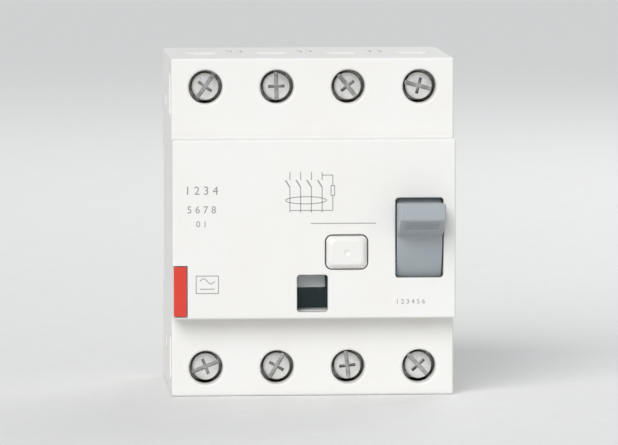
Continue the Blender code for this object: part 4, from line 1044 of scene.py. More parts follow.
@dataclass
class FrontCover:
    """The front moulding: two shoulders with screw wells and the raised nose.

    A window is its width, height, corner and fillet. The pocket is its width, height and corner.
    """

    sizes: Mouldings
    well: float = 4.3
    well_fillet: float = 0.55
    chimney_wall: float = 1.5
    chimney: float = 5.8
    pilot_end: float = -35.1
    seat_half: float = 26.3
    seat_depth: float = -30.1
    lever_window: Point4 = (12.1, 20.2, 0.8, 0.35)
    button_window: Point4 = (10.9, 8.9, 1.8, 0.3)
    lens_window: Point4 = (7.8, 9.4, 0.8, 0.3)
    marker_depth: float = 0.9
    pocket: Point3 = (8.4, 11.0, 1.2)
    pocket_y: float = -36.2
    pocket_z: float = 33.5
    pocket_depth: float = 0.6
    pocket_fillet: float = 0.25
    lip_root: float = 0.6

    def shell(self) -> Workpiece:
        """Make the hollow shell with its chimneys and bosses."""
        s = self.sizes
        top = s.half_height
        half = [(s.cover_back + 2 * PAST, -top), (s.shoulder, -top), (s.shoulder, -s.nose_half),
                (s.nose, -s.nose_half)]
        profile = half + [(y, -z) for y, z in reversed(half)]
        cover = Workpiece("cover_moulding", Sketch().prism(profile, Axis.X, -s.half_width, s.half_width))
        cover.round_edges(s.edge, 4)
        inner = s.half_width - s.wall
        behind = Sketch().box((-FAR, s.cover_back, -FAR), (FAR, 0, FAR))
        hollow = Sketch().prism(s.hollow(), Axis.Y, s.shoulder + s.wall, s.cover_back + PAST)
        nose_room = Sketch().box((-inner, s.nose + s.wall, -s.nose_half + s.wall),
                                 (inner, s.shoulder + s.wall + PAST, s.nose_half - s.wall))
        seat = Sketch().box((-inner, self.seat_depth, -self.seat_half),
                            (inner, s.cover_back + PAST, self.seat_half))
        cover.cut(behind, hollow, nose_room, seat)
        root = s.shoulder + s.wall / 2
        extras = [Sketch().cylinder((spot.x, spot.z), self.well + self.chimney_wall, Axis.Y, root,
                                    s.shoulder + self.chimney) for spot in TERMINALS]
        extras += [Sketch().cylinder((spot.x, spot.z), s.boss, Axis.Y, root, s.cover_back)
                   for spot in FASTENERS]
        return cover.join(*extras)

    def windows(self) -> list[Sketch]:
        """Draw the nose's openings with their rounded mouths."""
        s = self.sizes
        pivot = joint_place("toggle_tilt")
        button = node_middle("test_button")
        lens = node_middle("indicator_lens")
        lens_z = node_box("indicator_lens")[1].z - GAP - self.lens_window[1] / 2
        places = (((pivot.x, pivot.z), self.lever_window), ((button.x, button.z), self.button_window),
                  ((lens.x, lens_z), self.lens_window))
        cutters = []
        for centre, (width, height, corner, fillet) in places:
            cutters.append(Sketch().mouth(widening(centre, width, height, corner), s.nose, fillet,
                                          s.nose + s.wall + PAST))
        low, high = node_box("side_marker")
        cutters.append(Sketch().box((low.x - 2 * PAST, s.nose - PAST, low.z - GAP),
                                    (high.x + GAP, s.nose + self.marker_depth, high.z + GAP)))
        return cutters

    def wells(self) -> list[Sketch]:
        """Draw the screw wells and the pilot holes for the housing screws."""
        s = self.sizes
        cutters = [Sketch().mouth(lambda offset: circle((spot.x, spot.z), self.well + offset, 64), s.shoulder,
                                  self.well_fillet, s.shoulder + self.chimney + PAST) for spot in TERMINALS]
        cutters += [Sketch().cylinder((spot.x, spot.z), s.hole, Axis.Y, self.pilot_end,
                                      s.cover_back + PAST, 24) for spot in FASTENERS]
        return cutters

    def side_pockets(self) -> list[Sketch]:
        """Draw the shallow grip pockets in both sides."""
        cutters = []
        for side in (-1, 1):
            face = side * self.sizes.half_width
            for row in (-1, 1):
                outline_at = widening((self.pocket_y, row * self.pocket_z), *self.pocket)
                cutters.append(Sketch().mouth(outline_at, face, self.pocket_fillet,
                                              face - side * self.pocket_depth, Axis.X, 3))
        return cutters

    def build(self) -> None:
        """Make the cover and seat it."""
        s = self.sizes
        cover = self.shell()
        outside, inside = s.lip_frame(0.0, s.cover_back - self.lip_root, s.cover_back + s.lip_reach)
        lip = Workpiece("cover_lip", outside).cut(inside)
        cover.cut(*self.wells(), *self.windows(), *self.side_pockets())
        cover.smooth().seat(Slot.HOUSING, BODY_OF["front_cover"], "front_cover")
        lip.smooth().seat(Slot.HOUSING, BODY_OF["front_cover"])


@dataclass
class RearHousing:
    """The base: conductor entries, rail channel, hooks and clip guide.

    A coring pocket is its lowest and highest X, then its lowest and highest Z.
    """

    sizes: Mouldings
    channel_half: float = 17.7
    seat_half: float = 15.0
    seat_relief: float = 0.4
    hook_reach: float = 2.4
    hook_thick: float = 2.6
    hook_width: float = 17.0
    hook_y: float = 1.3
    hook_nose: float = 0.5
    hook_slope: float = 1.2
    cage_plate: float = 2.0
    cage_room: float = 8.0
    entry: float = 7.4
    entry_corner: float = 1.6
    entry_fillet: float = 0.9
    entry_past: float = 0.5
    clip_half: float = 11.0
    clip_neck: float = 8.0
    clip_flange: float = 1.6
    vent_width: float = 1.1
    vent_length: float = 11.0
    vent_corner: float = 0.5
    vent_shift: float = 1.3
    vent_y: float = -11.5
    vent_depth: float = 0.9
    mark: float = 2.2
    mark_y: float = -14.0
    mark_z: float = 31.0
    mark_depth: float = 0.25
    core_depth: float = 3.0
    core_corner: float = 0.8
    cores: tuple[Point4, ...] = (
        (-14.2, -0.7, 20.0, 40.2), (0.7, 14.2, 20.0, 40.2), (22.0, 33.4, 20.0, 40.2),
        (-33.4, -22.0, 20.0, 40.2), (22.0, 33.4, -40.2, -20.0), (-33.4, -22.0, -40.2, -20.0),
    )
    counterbore: float = 2.9
    counterbore_deep: float = 2.4
    boss_root: float = 0.5
    stub: float = 1.6
    stub_front: float = 0.8
    stub_back: float = 1.1

    def channel(self) -> Sketch:
        """Draw what is cut for the rail."""
        s = self.sizes
        half = [(0, self.seat_half), (-self.seat_relief, self.seat_half),
                (-self.seat_relief, self.channel_half), (s.foot + PAST, self.channel_half)]
        section = half + [(y, -z) for y, z in reversed(half)]
        return Sketch().prism(section, Axis.X, -s.half_width - PAST, s.half_width + PAST)

    def clip_groove(self) -> Sketch:
        """Draw what is cut for the rail clip."""
        s = self.sizes
        floor = self.hook_y - GAP
        step = self.hook_y + self.clip_flange + GAP
        half = [(self.clip_half, floor), (self.clip_half, step), (self.clip_neck, step),
                (self.clip_neck, s.foot + PAST)]
        outline = half + [(-x, y) for x, y in reversed(half)]
        return Sketch().prism(outline, Axis.Z, -s.half_height - PAST, -self.channel_half + PAST)

    def hooks(self) -> list[Sketch]:
        """Draw the two hooks, tapered towards their tips."""
        tip = self.channel_half - self.hook_reach
        root = self.channel_half + PAST
        y = self.hook_y
        thick = self.hook_thick
        section = [(y, root), (y, tip + self.hook_nose), (y + self.hook_nose, tip), (y + thick * 0.5, tip),
                   (y + thick, tip + self.hook_slope), (y + thick, root)]
        half = self.hook_width / 2
        return [Sketch().prism(section, Axis.X, x - half, x + half) for x in (-POLE_PITCH, POLE_PITCH)]

    def entries(self) -> list[Sketch]:
        """Draw the conductor entries with their rounded mouths."""
        s = self.sizes
        cage_back = node_box("clamp_cage_1")[1].y
        middle = cage_back - self.cage_plate - self.cage_room + GAP + self.entry / 2
        cutters = []
        for spot in TERMINALS:
            side = math.copysign(1, spot.z)
            outline_at = widening((spot.x, middle), self.entry, self.entry, self.entry_corner)
            cutters.append(Sketch().mouth(outline_at, side * s.half_height, self.entry_fillet,
                                          side * (s.half_height - s.wall - self.entry_past), Axis.Z))
        return cutters

    def recesses(self) -> list[Sketch]:
        """Draw shallow vents beside the entries, side marks and coring pockets in the back."""
        s = self.sizes
        cutters = []
        for side in (-1, 1):
            face = side * s.half_height
            for x in (-POLE_PITCH, 0.0, POLE_PITCH):
                for shift in (-self.vent_shift, self.vent_shift):
                    outline = rounded((x + shift, self.vent_y), self.vent_width, self.vent_length,
                                      self.vent_corner, 4)
                    cutters.append(Sketch().prism(outline, Axis.Z, face - side * self.vent_depth,
                                                  face + side * PAST))
            wall = side * s.half_width
            for z in (-self.mark_z, self.mark_z):
                cutters.append(Sketch().cylinder((self.mark_y, z), self.mark, Axis.X,
                                                 wall - side * self.mark_depth, wall + side * PAST, 40))
        for x_low, x_high, z_low, z_high in self.cores:
            centre = ((x_low + x_high) / 2, (z_low + z_high) / 2)
            outline = rounded(centre, x_high - x_low, z_high - z_low, self.core_corner, 4)
            cutters.append(Sketch().prism(outline, Axis.Y, s.foot - self.core_depth, s.foot + PAST))
        return cutters

    def screw_holes(self) -> list[Sketch]:
        """Draw the housing screws' holes and their counterbores."""
        s = self.sizes
        cutters = []
        for spot in FASTENERS:
            centre = (spot.x, spot.z)
            cutters.append(Sketch().cylinder(centre, s.hole, Axis.Y, s.parting - PAST, s.foot + PAST, 32))
            cutters.append(Sketch().cylinder(centre, self.counterbore, Axis.Y,
                                             s.foot - self.counterbore_deep, s.foot + PAST))
        return cutters

    def build(self) -> None:
        """Make the base and seat it."""
        s = self.sizes
        outline = rectangle(-s.half_width, s.half_width, s.parting - 2 * PAST, s.foot)
        base = Workpiece("base_moulding", Sketch().prism(outline, Axis.Z, -s.half_height, s.half_height))
        base.round_edges(s.edge, 4)
        front = Sketch().box((-FAR, -FAR, -FAR), (FAR, s.parting, FAR))
        hollow = Sketch().prism(s.hollow(), Axis.Y, s.parting - PAST, -s.wall)
        base.cut(front, hollow, self.channel())
        bosses = [Sketch().cylinder((spot.x, spot.z), s.boss, Axis.Y, s.parting, -s.wall + self.boss_root)
                  for spot in FASTENERS]
        base.join(*self.hooks(), *bosses)
        base.cut(*self.entries(), *self.recesses(), self.clip_groove(), *self.screw_holes())
        outside, inside = s.lip_frame(s.lip_play, s.parting - PAST, s.parting + s.lip_reach)
        base.combine("DIFFERENCE", [Workpiece("rebate", outside).cut(inside).obj])
        stub_top = node_box("clip_spring")[0].z - GAP
        base.join(Sketch().box((-self.stub, self.hook_y - self.stub_front, stub_top - self.stub),
                               (self.stub, s.foot - self.stub_back, stub_top)))
        base.smooth().seat(Slot.HOUSING, BODY_OF["rear_housing"], "rear_housing")


@dataclass
class Lever:
    """The lever: a drum that fills its window, with a wedge-shaped grip."""

    drum: float = 18.1
    skirt: float = 1.8
    tip: float = 28.5
    tip_thick: float = 4.4
    edge: float = 0.55
    on_angle: float = 15.0
    down: float = 50.0
    up: float = 54.0
    grip_half: float = 14.0
    spoke_half: float = 11.0
    hub: float = 2.4
    hub_open: float = 60.0
    bore: float = 1.5
    crank: float = 6.0
    crank_pin: float = 1.0
    arm_root: float = 1.8
    arm_end: float = 1.4
    arm_span: Point2 = (1.4, 6.6)
    pin_span: Point2 = (-1.3, 2.0)
    ribs: int = 4
    rib_depth: float = 0.22
    rib_width: float = 0.55
    rib_pitch: float = 1.3
    rib_start: float = 1.9
    rib_inset: float = 1.5
    rib_sunk: float = 0.1

    def side_view(self, centre: Point2) -> Outline:
        """Draw the lever from the side, as it stands when on."""
        inner = self.drum - self.skirt
        tip_half = math.degrees(self.tip_thick / 2 / self.tip)
        outline = front_arc(centre, self.drum, -self.down, -self.grip_half, 24)
        outline += front_arc(centre, self.tip, -tip_half, tip_half, 5)
        outline += front_arc(centre, self.drum, self.grip_half, self.up, 24)
        outline += front_arc(centre, inner, self.up, self.spoke_half, 20)
        outline += front_arc(centre, self.hub, self.hub_open, 360.0 - self.hub_open, 24)
        outline += front_arc(centre, inner, -self.spoke_half, -self.down, 20)
        offsets = [(y - centre[0], z - centre[1]) for y, z in outline]
        return spun(offsets, math.radians(-self.on_angle), centre)

    def build(self) -> None:
        """Make the lever with its crank, and its grip ribs."""
        place = joint_place("toggle_tilt")
        low, high = node_box("toggle_lever")
        link = node_middle("drive_link").x
        centre = (place.y, place.z)
        half = high.x - place.x
        body = Sketch().prism(self.side_view(centre), Axis.X, place.x - half, place.x + half)
        lever = Workpiece("lever_moulding", body).round_edges(self.edge, 4, 20)
        pin = (centre[0] + self.crank, centre[1])
        end = self.arm_end
        arm = [(centre[0], centre[1] - self.arm_root), (pin[0] + end, pin[1] - end),
               (pin[0] + end, pin[1] + end), (centre[0], centre[1] + self.arm_root)]
        lever.join(Sketch().prism(arm, Axis.X, link + self.arm_span[0], link + self.arm_span[1]),
                   Sketch().cylinder(pin, self.crank_pin, Axis.X, link + self.pin_span[0],
                                     link + self.pin_span[1], 24))
        lever.cut(Sketch().cylinder(centre, self.bore, Axis.X, low.x - PAST, high.x + PAST, 32))
        lever.smooth(28).seat(Slot.LEVER, "toggle", "toggle_lever")
        self.grip_ribs(place, half)

    def grip_ribs(self, place: Vector, half: float) -> None:
        """Make the fine ribs on the grip's two faces."""
        inner_half = self.drum * math.sin(math.radians(self.grip_half))
        outer_half = self.tip_thick / 2
        inner_reach = self.drum * math.cos(math.radians(self.grip_half))
        slope = math.atan2(inner_half - outer_half, self.tip - inner_reach)
        for side, name in ((1, "upper"), (-1, "lower")):
            ribs = ROW.make("lever_ribs_" + name, {
                "Count": self.ribs,
                "Start": Vector((0.0, -(self.tip - self.rib_start) * MM, 0.0)),
                "Step": Vector((0.0, self.rib_pitch * MM, 0.0)),
                "Bar": Vector(((half - self.rib_inset) * 2 * MM, self.rib_width * MM,
                               2 * self.rib_depth * MM)),
                "Material": FINISHES[Slot.LEVER],
            })
            for move in (Matrix.Translation((0, self.tip * MM, 0)),
                         Matrix.Rotation(side * slope, 4, "X"),
                         Matrix.Translation((0, -self.tip * MM, side * (outer_half - self.rib_sunk) * MM)),
                         Matrix.Rotation(-math.radians(self.on_angle), 4, "X"),
                         Matrix.Translation(place * MM)):
                ribs.data.transform(move)
            seat_made(ribs, Slot.LEVER, "toggle")


@dataclass(frozen=True)
class Coil:
    """A wire wound in a helix, in millimetres."""

    name: str
    turns: float
    radius: float
    wire: float = 0.35
    slot: Slot = Slot.ZINC
    steps: int = 24

    def wind(self, start: Vector, length: float, axis: Axis = Axis.Z) -> bpy.types.Object:
        """Wind the wire.

        Args:
            start: the middle of its first turn.
            length: from the first turn to the last.
            axis: Z, or Y for a coil that lies down.

        Returns:
            The coil, in its place.
        """
        coil = HELIX.make(self.name, {
            "Turns": self.turns, "Radius": self.radius * MM, "Length": length * MM,
            "Wire": self.wire * MM, "Steps": self.steps, "Material": FINISHES[self.slot],
        })
        if axis is Axis.Y:
            coil.data.transform(Matrix.Rotation(math.radians(-90), 4, "X"))
        coil.data.transform(Matrix.Translation(start * MM))
        return coil


def press_spring(coil: bpy.types.Object) -> None:
    """Let a coil spring shorten as its joint moves.

    Args:
        coil: the spring, already in place.
    """
    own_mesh(coil)


@dataclass
class TestButton:
    """The push button with its stem and its return spring.

    The dimple is a profile whose depth counts from the button's top.
    """

    flange: float = 1.2
    flange_reach: float = 1.0
    stem: float = 2.0
    stem_root: float = 0.6
    corner: float = 1.5
    corner_fall: float = 0.1
    cover_wall: float = 2.0
    cap_root: float = 0.3
    shoulder: float = 0.1
    dome_steps: int = 6
    dome_start: float = 0.25
    dome_reach: float = 1.35
    dome_wide: float = 0.4
    dimple: tuple[Point2, ...] = ((0.0, -0.5), (0.95, -0.5), (0.8, 0.05), (0.45, 0.22), (0.0, 0.25))
    spring_turns: float = 5.0
    spring_play: float = 1.2

    def build(self) -> None:
        """Make the cap, its small pressed mark and the spring."""
        low, high = node_box("test_button")
        centre = face_centre("test_button")
        nose = COVER_LOW.y
        top = low.y
        width = high.x - low.x - 2 * self.flange_reach
        height = high.z - low.z - 2 * self.flange_reach
        flange_front = nose + self.cover_wall + GAP
        levels = [(flange_front + self.cap_root, rounded(centre, width, height, self.corner)),
                  (nose + self.shoulder, rounded(centre, width, height, self.corner))]
        for index in range(1, self.dome_steps + 1):
            share = index / self.dome_steps
            inset = self.dome_start + self.dome_reach * share
            fall = math.sin(math.radians(90 * share))
            outline = rounded(centre, width - 2 * inset + self.dome_wide, height - 2 * inset + self.dome_wide,
                              self.corner - self.corner_fall * share)
            levels.append((nose + self.shoulder + (top - nose - self.shoulder) * fall, outline))
        button = Workpiece("test_button_cap", Sketch().loft(levels, Axis.Y))
        edge = rounded(centre, width + 2 * self.flange_reach, height + 2 * self.flange_reach, self.corner)
        flange = Sketch().prism(edge, Axis.Y, flange_front, flange_front + self.flange)
        stem = Sketch().cylinder(centre, self.stem, Axis.Y, flange_front + self.stem_root, high.y, 32)
        button.join(flange, stem)
        button.cut(Sketch().lathe([(radius, top + deep) for radius, deep in self.dimple], centre, Axis.Y, 32))
        button.smooth(40).seat(Slot.PALE, "test_button", "test_button")
        self.spring(centre)

    def spring(self, centre: Point2) -> None:
        """Wind the return spring round the stem."""
        low, high = node_box("test_button_spring")
        spring = Coil("button_spring_coil", self.spring_turns, self.stem + self.spring_play)
        coil = spring.wind(Vector((centre[0], low.y + spring.wire, centre[1])),
                           high.y - low.y - 2 * spring.wire, Axis.Y)
        seat_made(coil, Slot.ZINC, BODY_OF["test_button_spring"], "test_button_spring")
        press_spring(coil)


@dataclass
class Indicator:
    """The clear window with its flag and the red strip beside it.

    A level of the window is its inset and its depth behind the nose's face.
    """

    window: Point2 = (7.2, 8.8)
    window_corner: float = 0.8
    window_drop: float = 4.7
    window_levels: tuple[Point2, ...] = ((0.35, 0.5), (0.12, 0.56), (0.0, 0.75), (0.0, 2.8))
    rim_span: Point2 = (2.3, 3.0)
    flag_thick: float = 1.2
    flag_edge: float = 0.2
    tab_half: float = 1.5
    tab_span: Point2 = (4.5, 8.5)
    strip_edge: float = 0.12

    def lens(self) -> None:
        """Make the lens with its rim."""
        low, high = node_box("indicator_lens")
        nose = COVER_LOW.y
        centre = ((low.x + high.x) / 2, high.z - GAP - self.window_drop)
        width, height = self.window
        levels = [(nose + depth, rounded(centre, width - 2 * inset, height - 2 * inset, self.window_corner))
                  for inset, depth in self.window_levels]
        lens = Workpiece("indicator_window", Sketch().loft(levels, Axis.Y))
        front, back = self.rim_span
        lens.join(Sketch().box((low.x, nose + front, low.z), (high.x, nose + back, high.z)))
        lens.smooth(30).seat(Slot.LENS, BODY_OF["indicator_lens"], "indicator_lens")

    def flag(self) -> None:
        """Make the sliding flag: a plate with a tab behind it."""
        low, high = node_box("indicator_flag")
        face = Sketch().box((low.x, low.y, low.z), (high.x, low.y + self.flag_thick, high.z))
        plate = Workpiece("indicator_flag_plate", face)
        middle = (low.x + high.x) / 2
        bottom, top = self.tab_span
        plate.join(Sketch().box((middle - self.tab_half, low.y + self.flag_thick / 2, low.z + bottom),
                                (middle + self.tab_half, high.y, low.z + top)))
        plate.round_edges(self.flag_edge, 2).smooth().seat(Slot.FLAG, "indicator_flag", "indicator_flag")

    def marker(self) -> None:
        """Make the plain red strip let into the nose's edge."""
        low, high = node_box("side_marker")
        strip = Workpiece("red_strip", Sketch().box(tuple(low), tuple(high))).round_edges(self.strip_edge)
        strip.smooth().seat(Slot.MARKER, BODY_OF["side_marker"], "side_marker")

    def build(self) -> None:
        """Make all three."""
        self.lens()
        self.flag()
        self.marker()


@dataclass
class TerminalScrews:
    """The eight captive screws with combined recesses."""

    head: float = 3.5
    head_thick: float = 2.8
    shank: float = 2.1
    thread: float = 0.2
    thread_start: float = 1.2
    thread_end: float = 0.8
    pitch: float = 0.8
    slot: float = 1.1
    slot_deep: float = 1.5
    cross: float = 0.8
    cross_half: float = 2.1
    cross_deeper: float = 1.15
    taper: Point2 = (0.97, 0.82)
    first_turn: float = 17.4
    turn_step: float = 37.0

    def make_one(self, number: int) -> Workpiece:
        """Make one screw where it stands.

        Args:
            number: 1 to 8.

        Returns:
            The screw.
        """
        name = "terminal_screw_" + str(number)
        low, high = node_box(name)
        centre = face_centre(name)
        front = low.y
        back = front + self.head_thick
        profile = [
            (0.0, front + 0.02), (self.head * 0.55, front), (self.head - 0.45, front + 0.08),
            (self.head - 0.15, front + 0.22), (self.head, front + 0.55), (self.head, back - 0.25),
            (self.head - 0.25, back), (self.shank, back + 0.05), (self.shank, high.y - 0.5),
            (self.shank - 0.5, high.y), (0.0, high.y),
        ]
        screw = Workpiece("clamp_screw_" + str(number), Sketch().lathe(profile, centre, Axis.Y, 72))
        turn = math.radians(self.first_turn + self.turn_step * number)
        cross_deep = self.slot_deep * self.cross_deeper
        for length, width, extra, deep in ((self.head + PAST, self.slot, 0.0, self.slot_deep),
                                           (self.cross_half, self.cross, 90.0, cross_deep)):
            angle = turn + math.radians(extra)
            mouth = rectangle(-length, length, -width / 2, width / 2)
            floor = [(a * self.taper[0], b * self.taper[1]) for a, b in mouth]
            screw.cut(Sketch().loft([(front - 0.5, spun(mouth, angle, centre)),
                                     (front + deep, spun(floor, angle, centre))], Axis.Y))
        return screw

    def build(self) -> None:
        """Make every screw and its thread."""
        for number in range(1, 9):
            name = "terminal_screw_" + str(number)
            low, high = node_box(name)
            x, z = face_centre(name)
            start = Vector((x, low.y + self.head_thick + self.thread_start, z))
            self.make_one(number).smooth(30).seat(Slot.ZINC, name, name)
            length = high.y - start.y - self.thread_end
            thread = Coil("clamp_thread_" + str(number), length / self.pitch, self.shank, self.thread)
            seat_made(thread.wind(start, length, Axis.Y), Slot.ZINC, name)


@dataclass
class ClampCages:
    """The eight steel cages that the screws draw up."""

    wall: float = 1.3
    plate: float = 2.0
    front_plate: float = 2.2
    edge: float = 0.45
    corner: float = 0.5
    thread_hole: float = 2.6
    hole_deep: float = 3.0
    grooves: int = 5
    groove_margin: float = 1.0
    groove_half: float = 0.3
    groove_deep: float = 0.35
    groove_out: float = 0.4
    groove_inset: float = 0.3

    def build(self) -> None:
        """Make every cage, with grooves in its clamping face."""
        for number in range(1, 9):
            name = "clamp_cage_" + str(number)
            low, high = node_box(name)
            middle = (low + high) / 2
            block = Sketch().prism(rectangle(low.x, high.x, low.y, high.y), Axis.Z, low.z, high.z)
            cage = Workpiece("cage_" + str(number), block).round_edges(self.edge, 4)
            front = low.y + self.front_plate
            back = high.y - self.plate
            opening = rounded((middle.x, (front + back) / 2), high.x - low.x - 2 * self.wall,
                              high.y - low.y - self.front_plate - self.plate, self.corner, 4)
            cage.cut(Sketch().prism(opening, Axis.Z, low.z - PAST, high.z + PAST),
                     Sketch().cylinder((middle.x, middle.z), self.thread_hole, Axis.Y, low.y - PAST,
                                       low.y + self.hole_deep, 40))
            cage.cut(self.groove_row(low, high, back))
            cage.smooth().seat(Slot.ZINC, name, name)

    def groove_row(self, low: Vector, high: Vector, back: float) -> Sketch:
        """Draw the grooves across the clamping face.

        Args:
            low: the cage's lowest corner.
            high: its highest corner.
            back: place of the clamping face in Y.

        Returns:
            All grooves in one sketch.
        """
        teeth = Sketch()
        inset = self.wall + self.groove_inset
        pitch = (high.z - low.z - 2 * self.groove_margin) / self.grooves
        for index in range(self.grooves):
            z = low.z + self.groove_margin + pitch * (index + 0.5)
            section = [(back - self.groove_out, z - self.groove_half), (back + self.groove_deep, z),
                       (back - self.groove_out, z + self.groove_half)]
            teeth.prism(section, Axis.X, low.x + inset, high.x - inset)
        return teeth


@dataclass
class RailClip:
    """The sprung slider that holds the rail's lower edge.

    The window holds the spring and the slot takes a blade. Both are width, height and corner.
    """

    flange: float = 1.6
    flange_end: float = 1.2
    reach: float = 2.2
    neck: float = 7.7
    foot: float = 0.2
    ramp_back: float = 0.6
    ramp_front: float = 1.2
    window: Point3 = (4.8, 11.2, 0.6)
    window_drop: float = 10.9
    slot: Point3 = (6.0, 1.8, 0.5)
    slot_z: float = 2.5
    edge: float = 0.25
    ribs: int = 5
    rib_z: float = 4.3
    rib_pitch: float = 0.55
    rib_sunk: float = 0.02
    rib_size: Point3 = (10.0, 0.5, 0.25)
    spring_turns: float = 6.0
    spring_radius: float = 1.3

    def build(self) -> None:
        """Make the slider, its grip ribs and its spring."""
        low, high = node_box("rail_clip")
        top = high.z - self.reach
        flange = rectangle(low.x, high.x, low.y, low.y + self.flange)
        clip = Workpiece("rail_slider", Sketch().prism(flange, Axis.Z, low.z, top - self.flange_end))
        foot = low.z + self.foot
        ramp = [(low.y, foot), (high.y, foot), (high.y, top - self.ramp_back),
                (low.y + self.ramp_front, high.z), (low.y, high.z)]
        clip.join(Sketch().prism(ramp, Axis.X, -self.neck, self.neck))
        spring_top = node_box("clip_spring")[1].z
        window_z = (spring_top + GAP + spring_top - self.window_drop) / 2
        openings = [Sketch().prism(rounded((0, z), *size, 4), Axis.Y, low.y - PAST, high.y + PAST)
                    for z, size in ((window_z, self.window), (low.z + self.slot_z, self.slot))]
        clip.cut(*openings).round_edges(self.edge)
        clip.smooth().seat(Slot.CLIP, "rail_clip", "rail_clip")
        ribs = ROW.make("slider_ribs", {
            "Count": self.ribs,
            "Start": Vector((0.0, (high.y - self.rib_sunk) * MM, (low.z + self.rib_z) * MM)),
            "Step": Vector((0.0, 0.0, self.rib_pitch * MM)),
            "Bar": Vector([side * MM for side in self.rib_size]),
            "Material": FINISHES[Slot.CLIP],
        })
        seat_made(ribs, Slot.CLIP, "rail_clip")
        self.spring()

    def spring(self) -> None:
        """Wind the spring that pushes the slider up."""
        low, high = node_box("clip_spring")
        middle = (low + high) / 2
        spring = Coil("rail_spring_coil", self.spring_turns, self.spring_radius)
        coil = spring.wind(Vector((middle.x, middle.y, low.z + spring.wire)),
                           high.z - low.z - 2 * spring.wire)
        seat_made(coil, Slot.ZINC, BODY_OF["clip_spring"], "clip_spring")
        press_spring(coil)


@dataclass
class HousingScrews:
    """The four screws in the back that hold the cover."""

    head: float = 2.6
    head_thick: float = 1.8
    shank: float = 1.4
    point: float = 1.2
    cross_half: float = 1.5
    cross_half_width: float = 0.35
    cross_deep: float = 1.1
    turn_step: float = 31.0

    def build(self) -> None:
        """Make the four screws with their crosses."""
        mouth = rectangle(-self.cross_half, self.cross_half, -self.cross_half_width,
                          self.cross_half_width)
        for number in range(1, 5):
            name = "housing_screw_" + str(number)
            low, high = node_box(name)
            centre = face_centre(name)
            back = high.y
            neck = back - self.head_thick
            profile = [
                (0.0, back), (self.head * 0.5, back), (self.head - 0.4, back - 0.1), (self.head, back - 0.5),
                (self.head, back - 1.65), (self.head - 0.15, neck), (self.shank, neck),
                (self.shank, low.y + self.point), (0.0, low.y),
            ]
            screw = Workpiece("back_screw_" + str(number), Sketch().lathe(profile, centre, Axis.Y, 48))
            for extra in (0.0, math.pi / 2):
                corners = spun(mouth, math.radians(self.turn_step * number) + extra, centre)
                screw.cut(Sketch().prism(corners, Axis.Y, back - self.cross_deep, back + PAST))
            screw.smooth().seat(Slot.ZINC, BODY_OF[name], name)


@dataclass
class Windings:
    """The wound pieces inside: the sensing ring, the relay's coil and the contact spring."""

    ring_bore: float = 5.0
    ring_wire: float = 0.26
    ring_turns: int = 90
    ring_sweep: float = 300.0
    ring_start: float = -60.0
    ring_corner: float = 0.8
    ring_play: float = 0.1
    ring_y: float = -14.0
    spring_turns: float = 6.0
    spring_radius: float = 1.9
    relay_core: float = 4.7
    relay_flange: float = 6.4
    relay_flange_thick: float = 1.2
    relay_bore: float = 2.3
    relay_edge: float = 0.2
    relay_wire: float = 0.24
    relay_radius: float = 4.85

    def ring(self) -> None:
        """Wind the sensing wire round the ring core."""
        low, high = node_box("toroid_winding")
        middle = (low + high) / 2
        outer = (high.x - low.x) / 2
        slack = 2 * self.ring_wire
        ring = RING_WINDING.make("sensing_winding", {
            "Turns": self.ring_turns, "Radius": (self.ring_bore + outer) / 2 * MM,
            "Width": (outer - self.ring_bore - slack - self.ring_play) * MM,
            "Height": (high.z - low.z - slack - self.ring_play) * MM,
            "Corner": self.ring_corner * MM, "Wire": self.ring_wire * MM,
            "Sweep": math.radians(self.ring_sweep), "Material": FINISHES[Slot.WINDING],
        })
        ring.data.transform(Matrix.Rotation(math.radians(self.ring_start), 4, "Z"))
        ring.data.transform(Matrix.Translation(Vector((0.0, self.ring_y, middle.z)) * MM))
        seat_made(ring, Slot.WINDING, BODY_OF["toroid_winding"], "toroid_winding")

    def contact_spring(self) -> None:
        """Wind the spring that pulls the contact shaft."""
        low, high = node_box("contact_spring")
        middle = (low + high) / 2
        spring = Coil("contact_spring_coil", self.spring_turns, self.spring_radius)
        coil = spring.wind(Vector((middle.x, middle.y, low.z + spring.wire)),
                           high.z - low.z - 2 * spring.wire)
        seat_made(coil, Slot.ZINC, BODY_OF["contact_spring"], "contact_spring")

    def relay_coil(self) -> None:
        """Make the relay's bobbin and wind its wire."""
        low, high = node_box("relay_coil")
        middle = (low + high) / 2
        centre = (middle.x, middle.y)
        thick = self.relay_flange_thick
        core = Sketch().cylinder(centre, self.relay_core, Axis.Z, low.z, high.z, 64)
        bobbin = Workpiece("relay_bobbin", core)
        bobbin.join(Sketch().cylinder(centre, self.relay_flange, Axis.Z, low.z, low.z + thick, 64),
                    Sketch().cylinder(centre, self.relay_flange, Axis.Z, high.z - thick, high.z, 64))
        bobbin.cut(Sketch().cylinder(centre, self.relay_bore, Axis.Z, low.z - PAST, high.z + PAST, 40))
        bobbin.round_edges(self.relay_edge, 2)
        bobbin.smooth().seat(Slot.INNER, BODY_OF["relay_coil"], "relay_coil")
        wire = self.relay_wire
        length = high.z - low.z - 2 * thick - 2 * wire
        winding = Coil("relay_wire", length / (2 * wire), self.relay_radius, wire, Slot.WINDING)
        coil = winding.wind(Vector((middle.x, middle.y, low.z + thick + wire)), length)
        seat_made(coil, Slot.WINDING, BODY_OF["relay_coil"])

    def build(self) -> None:
        """Make all of them."""
        self.ring()
        self.relay_coil()
        self.contact_spring()


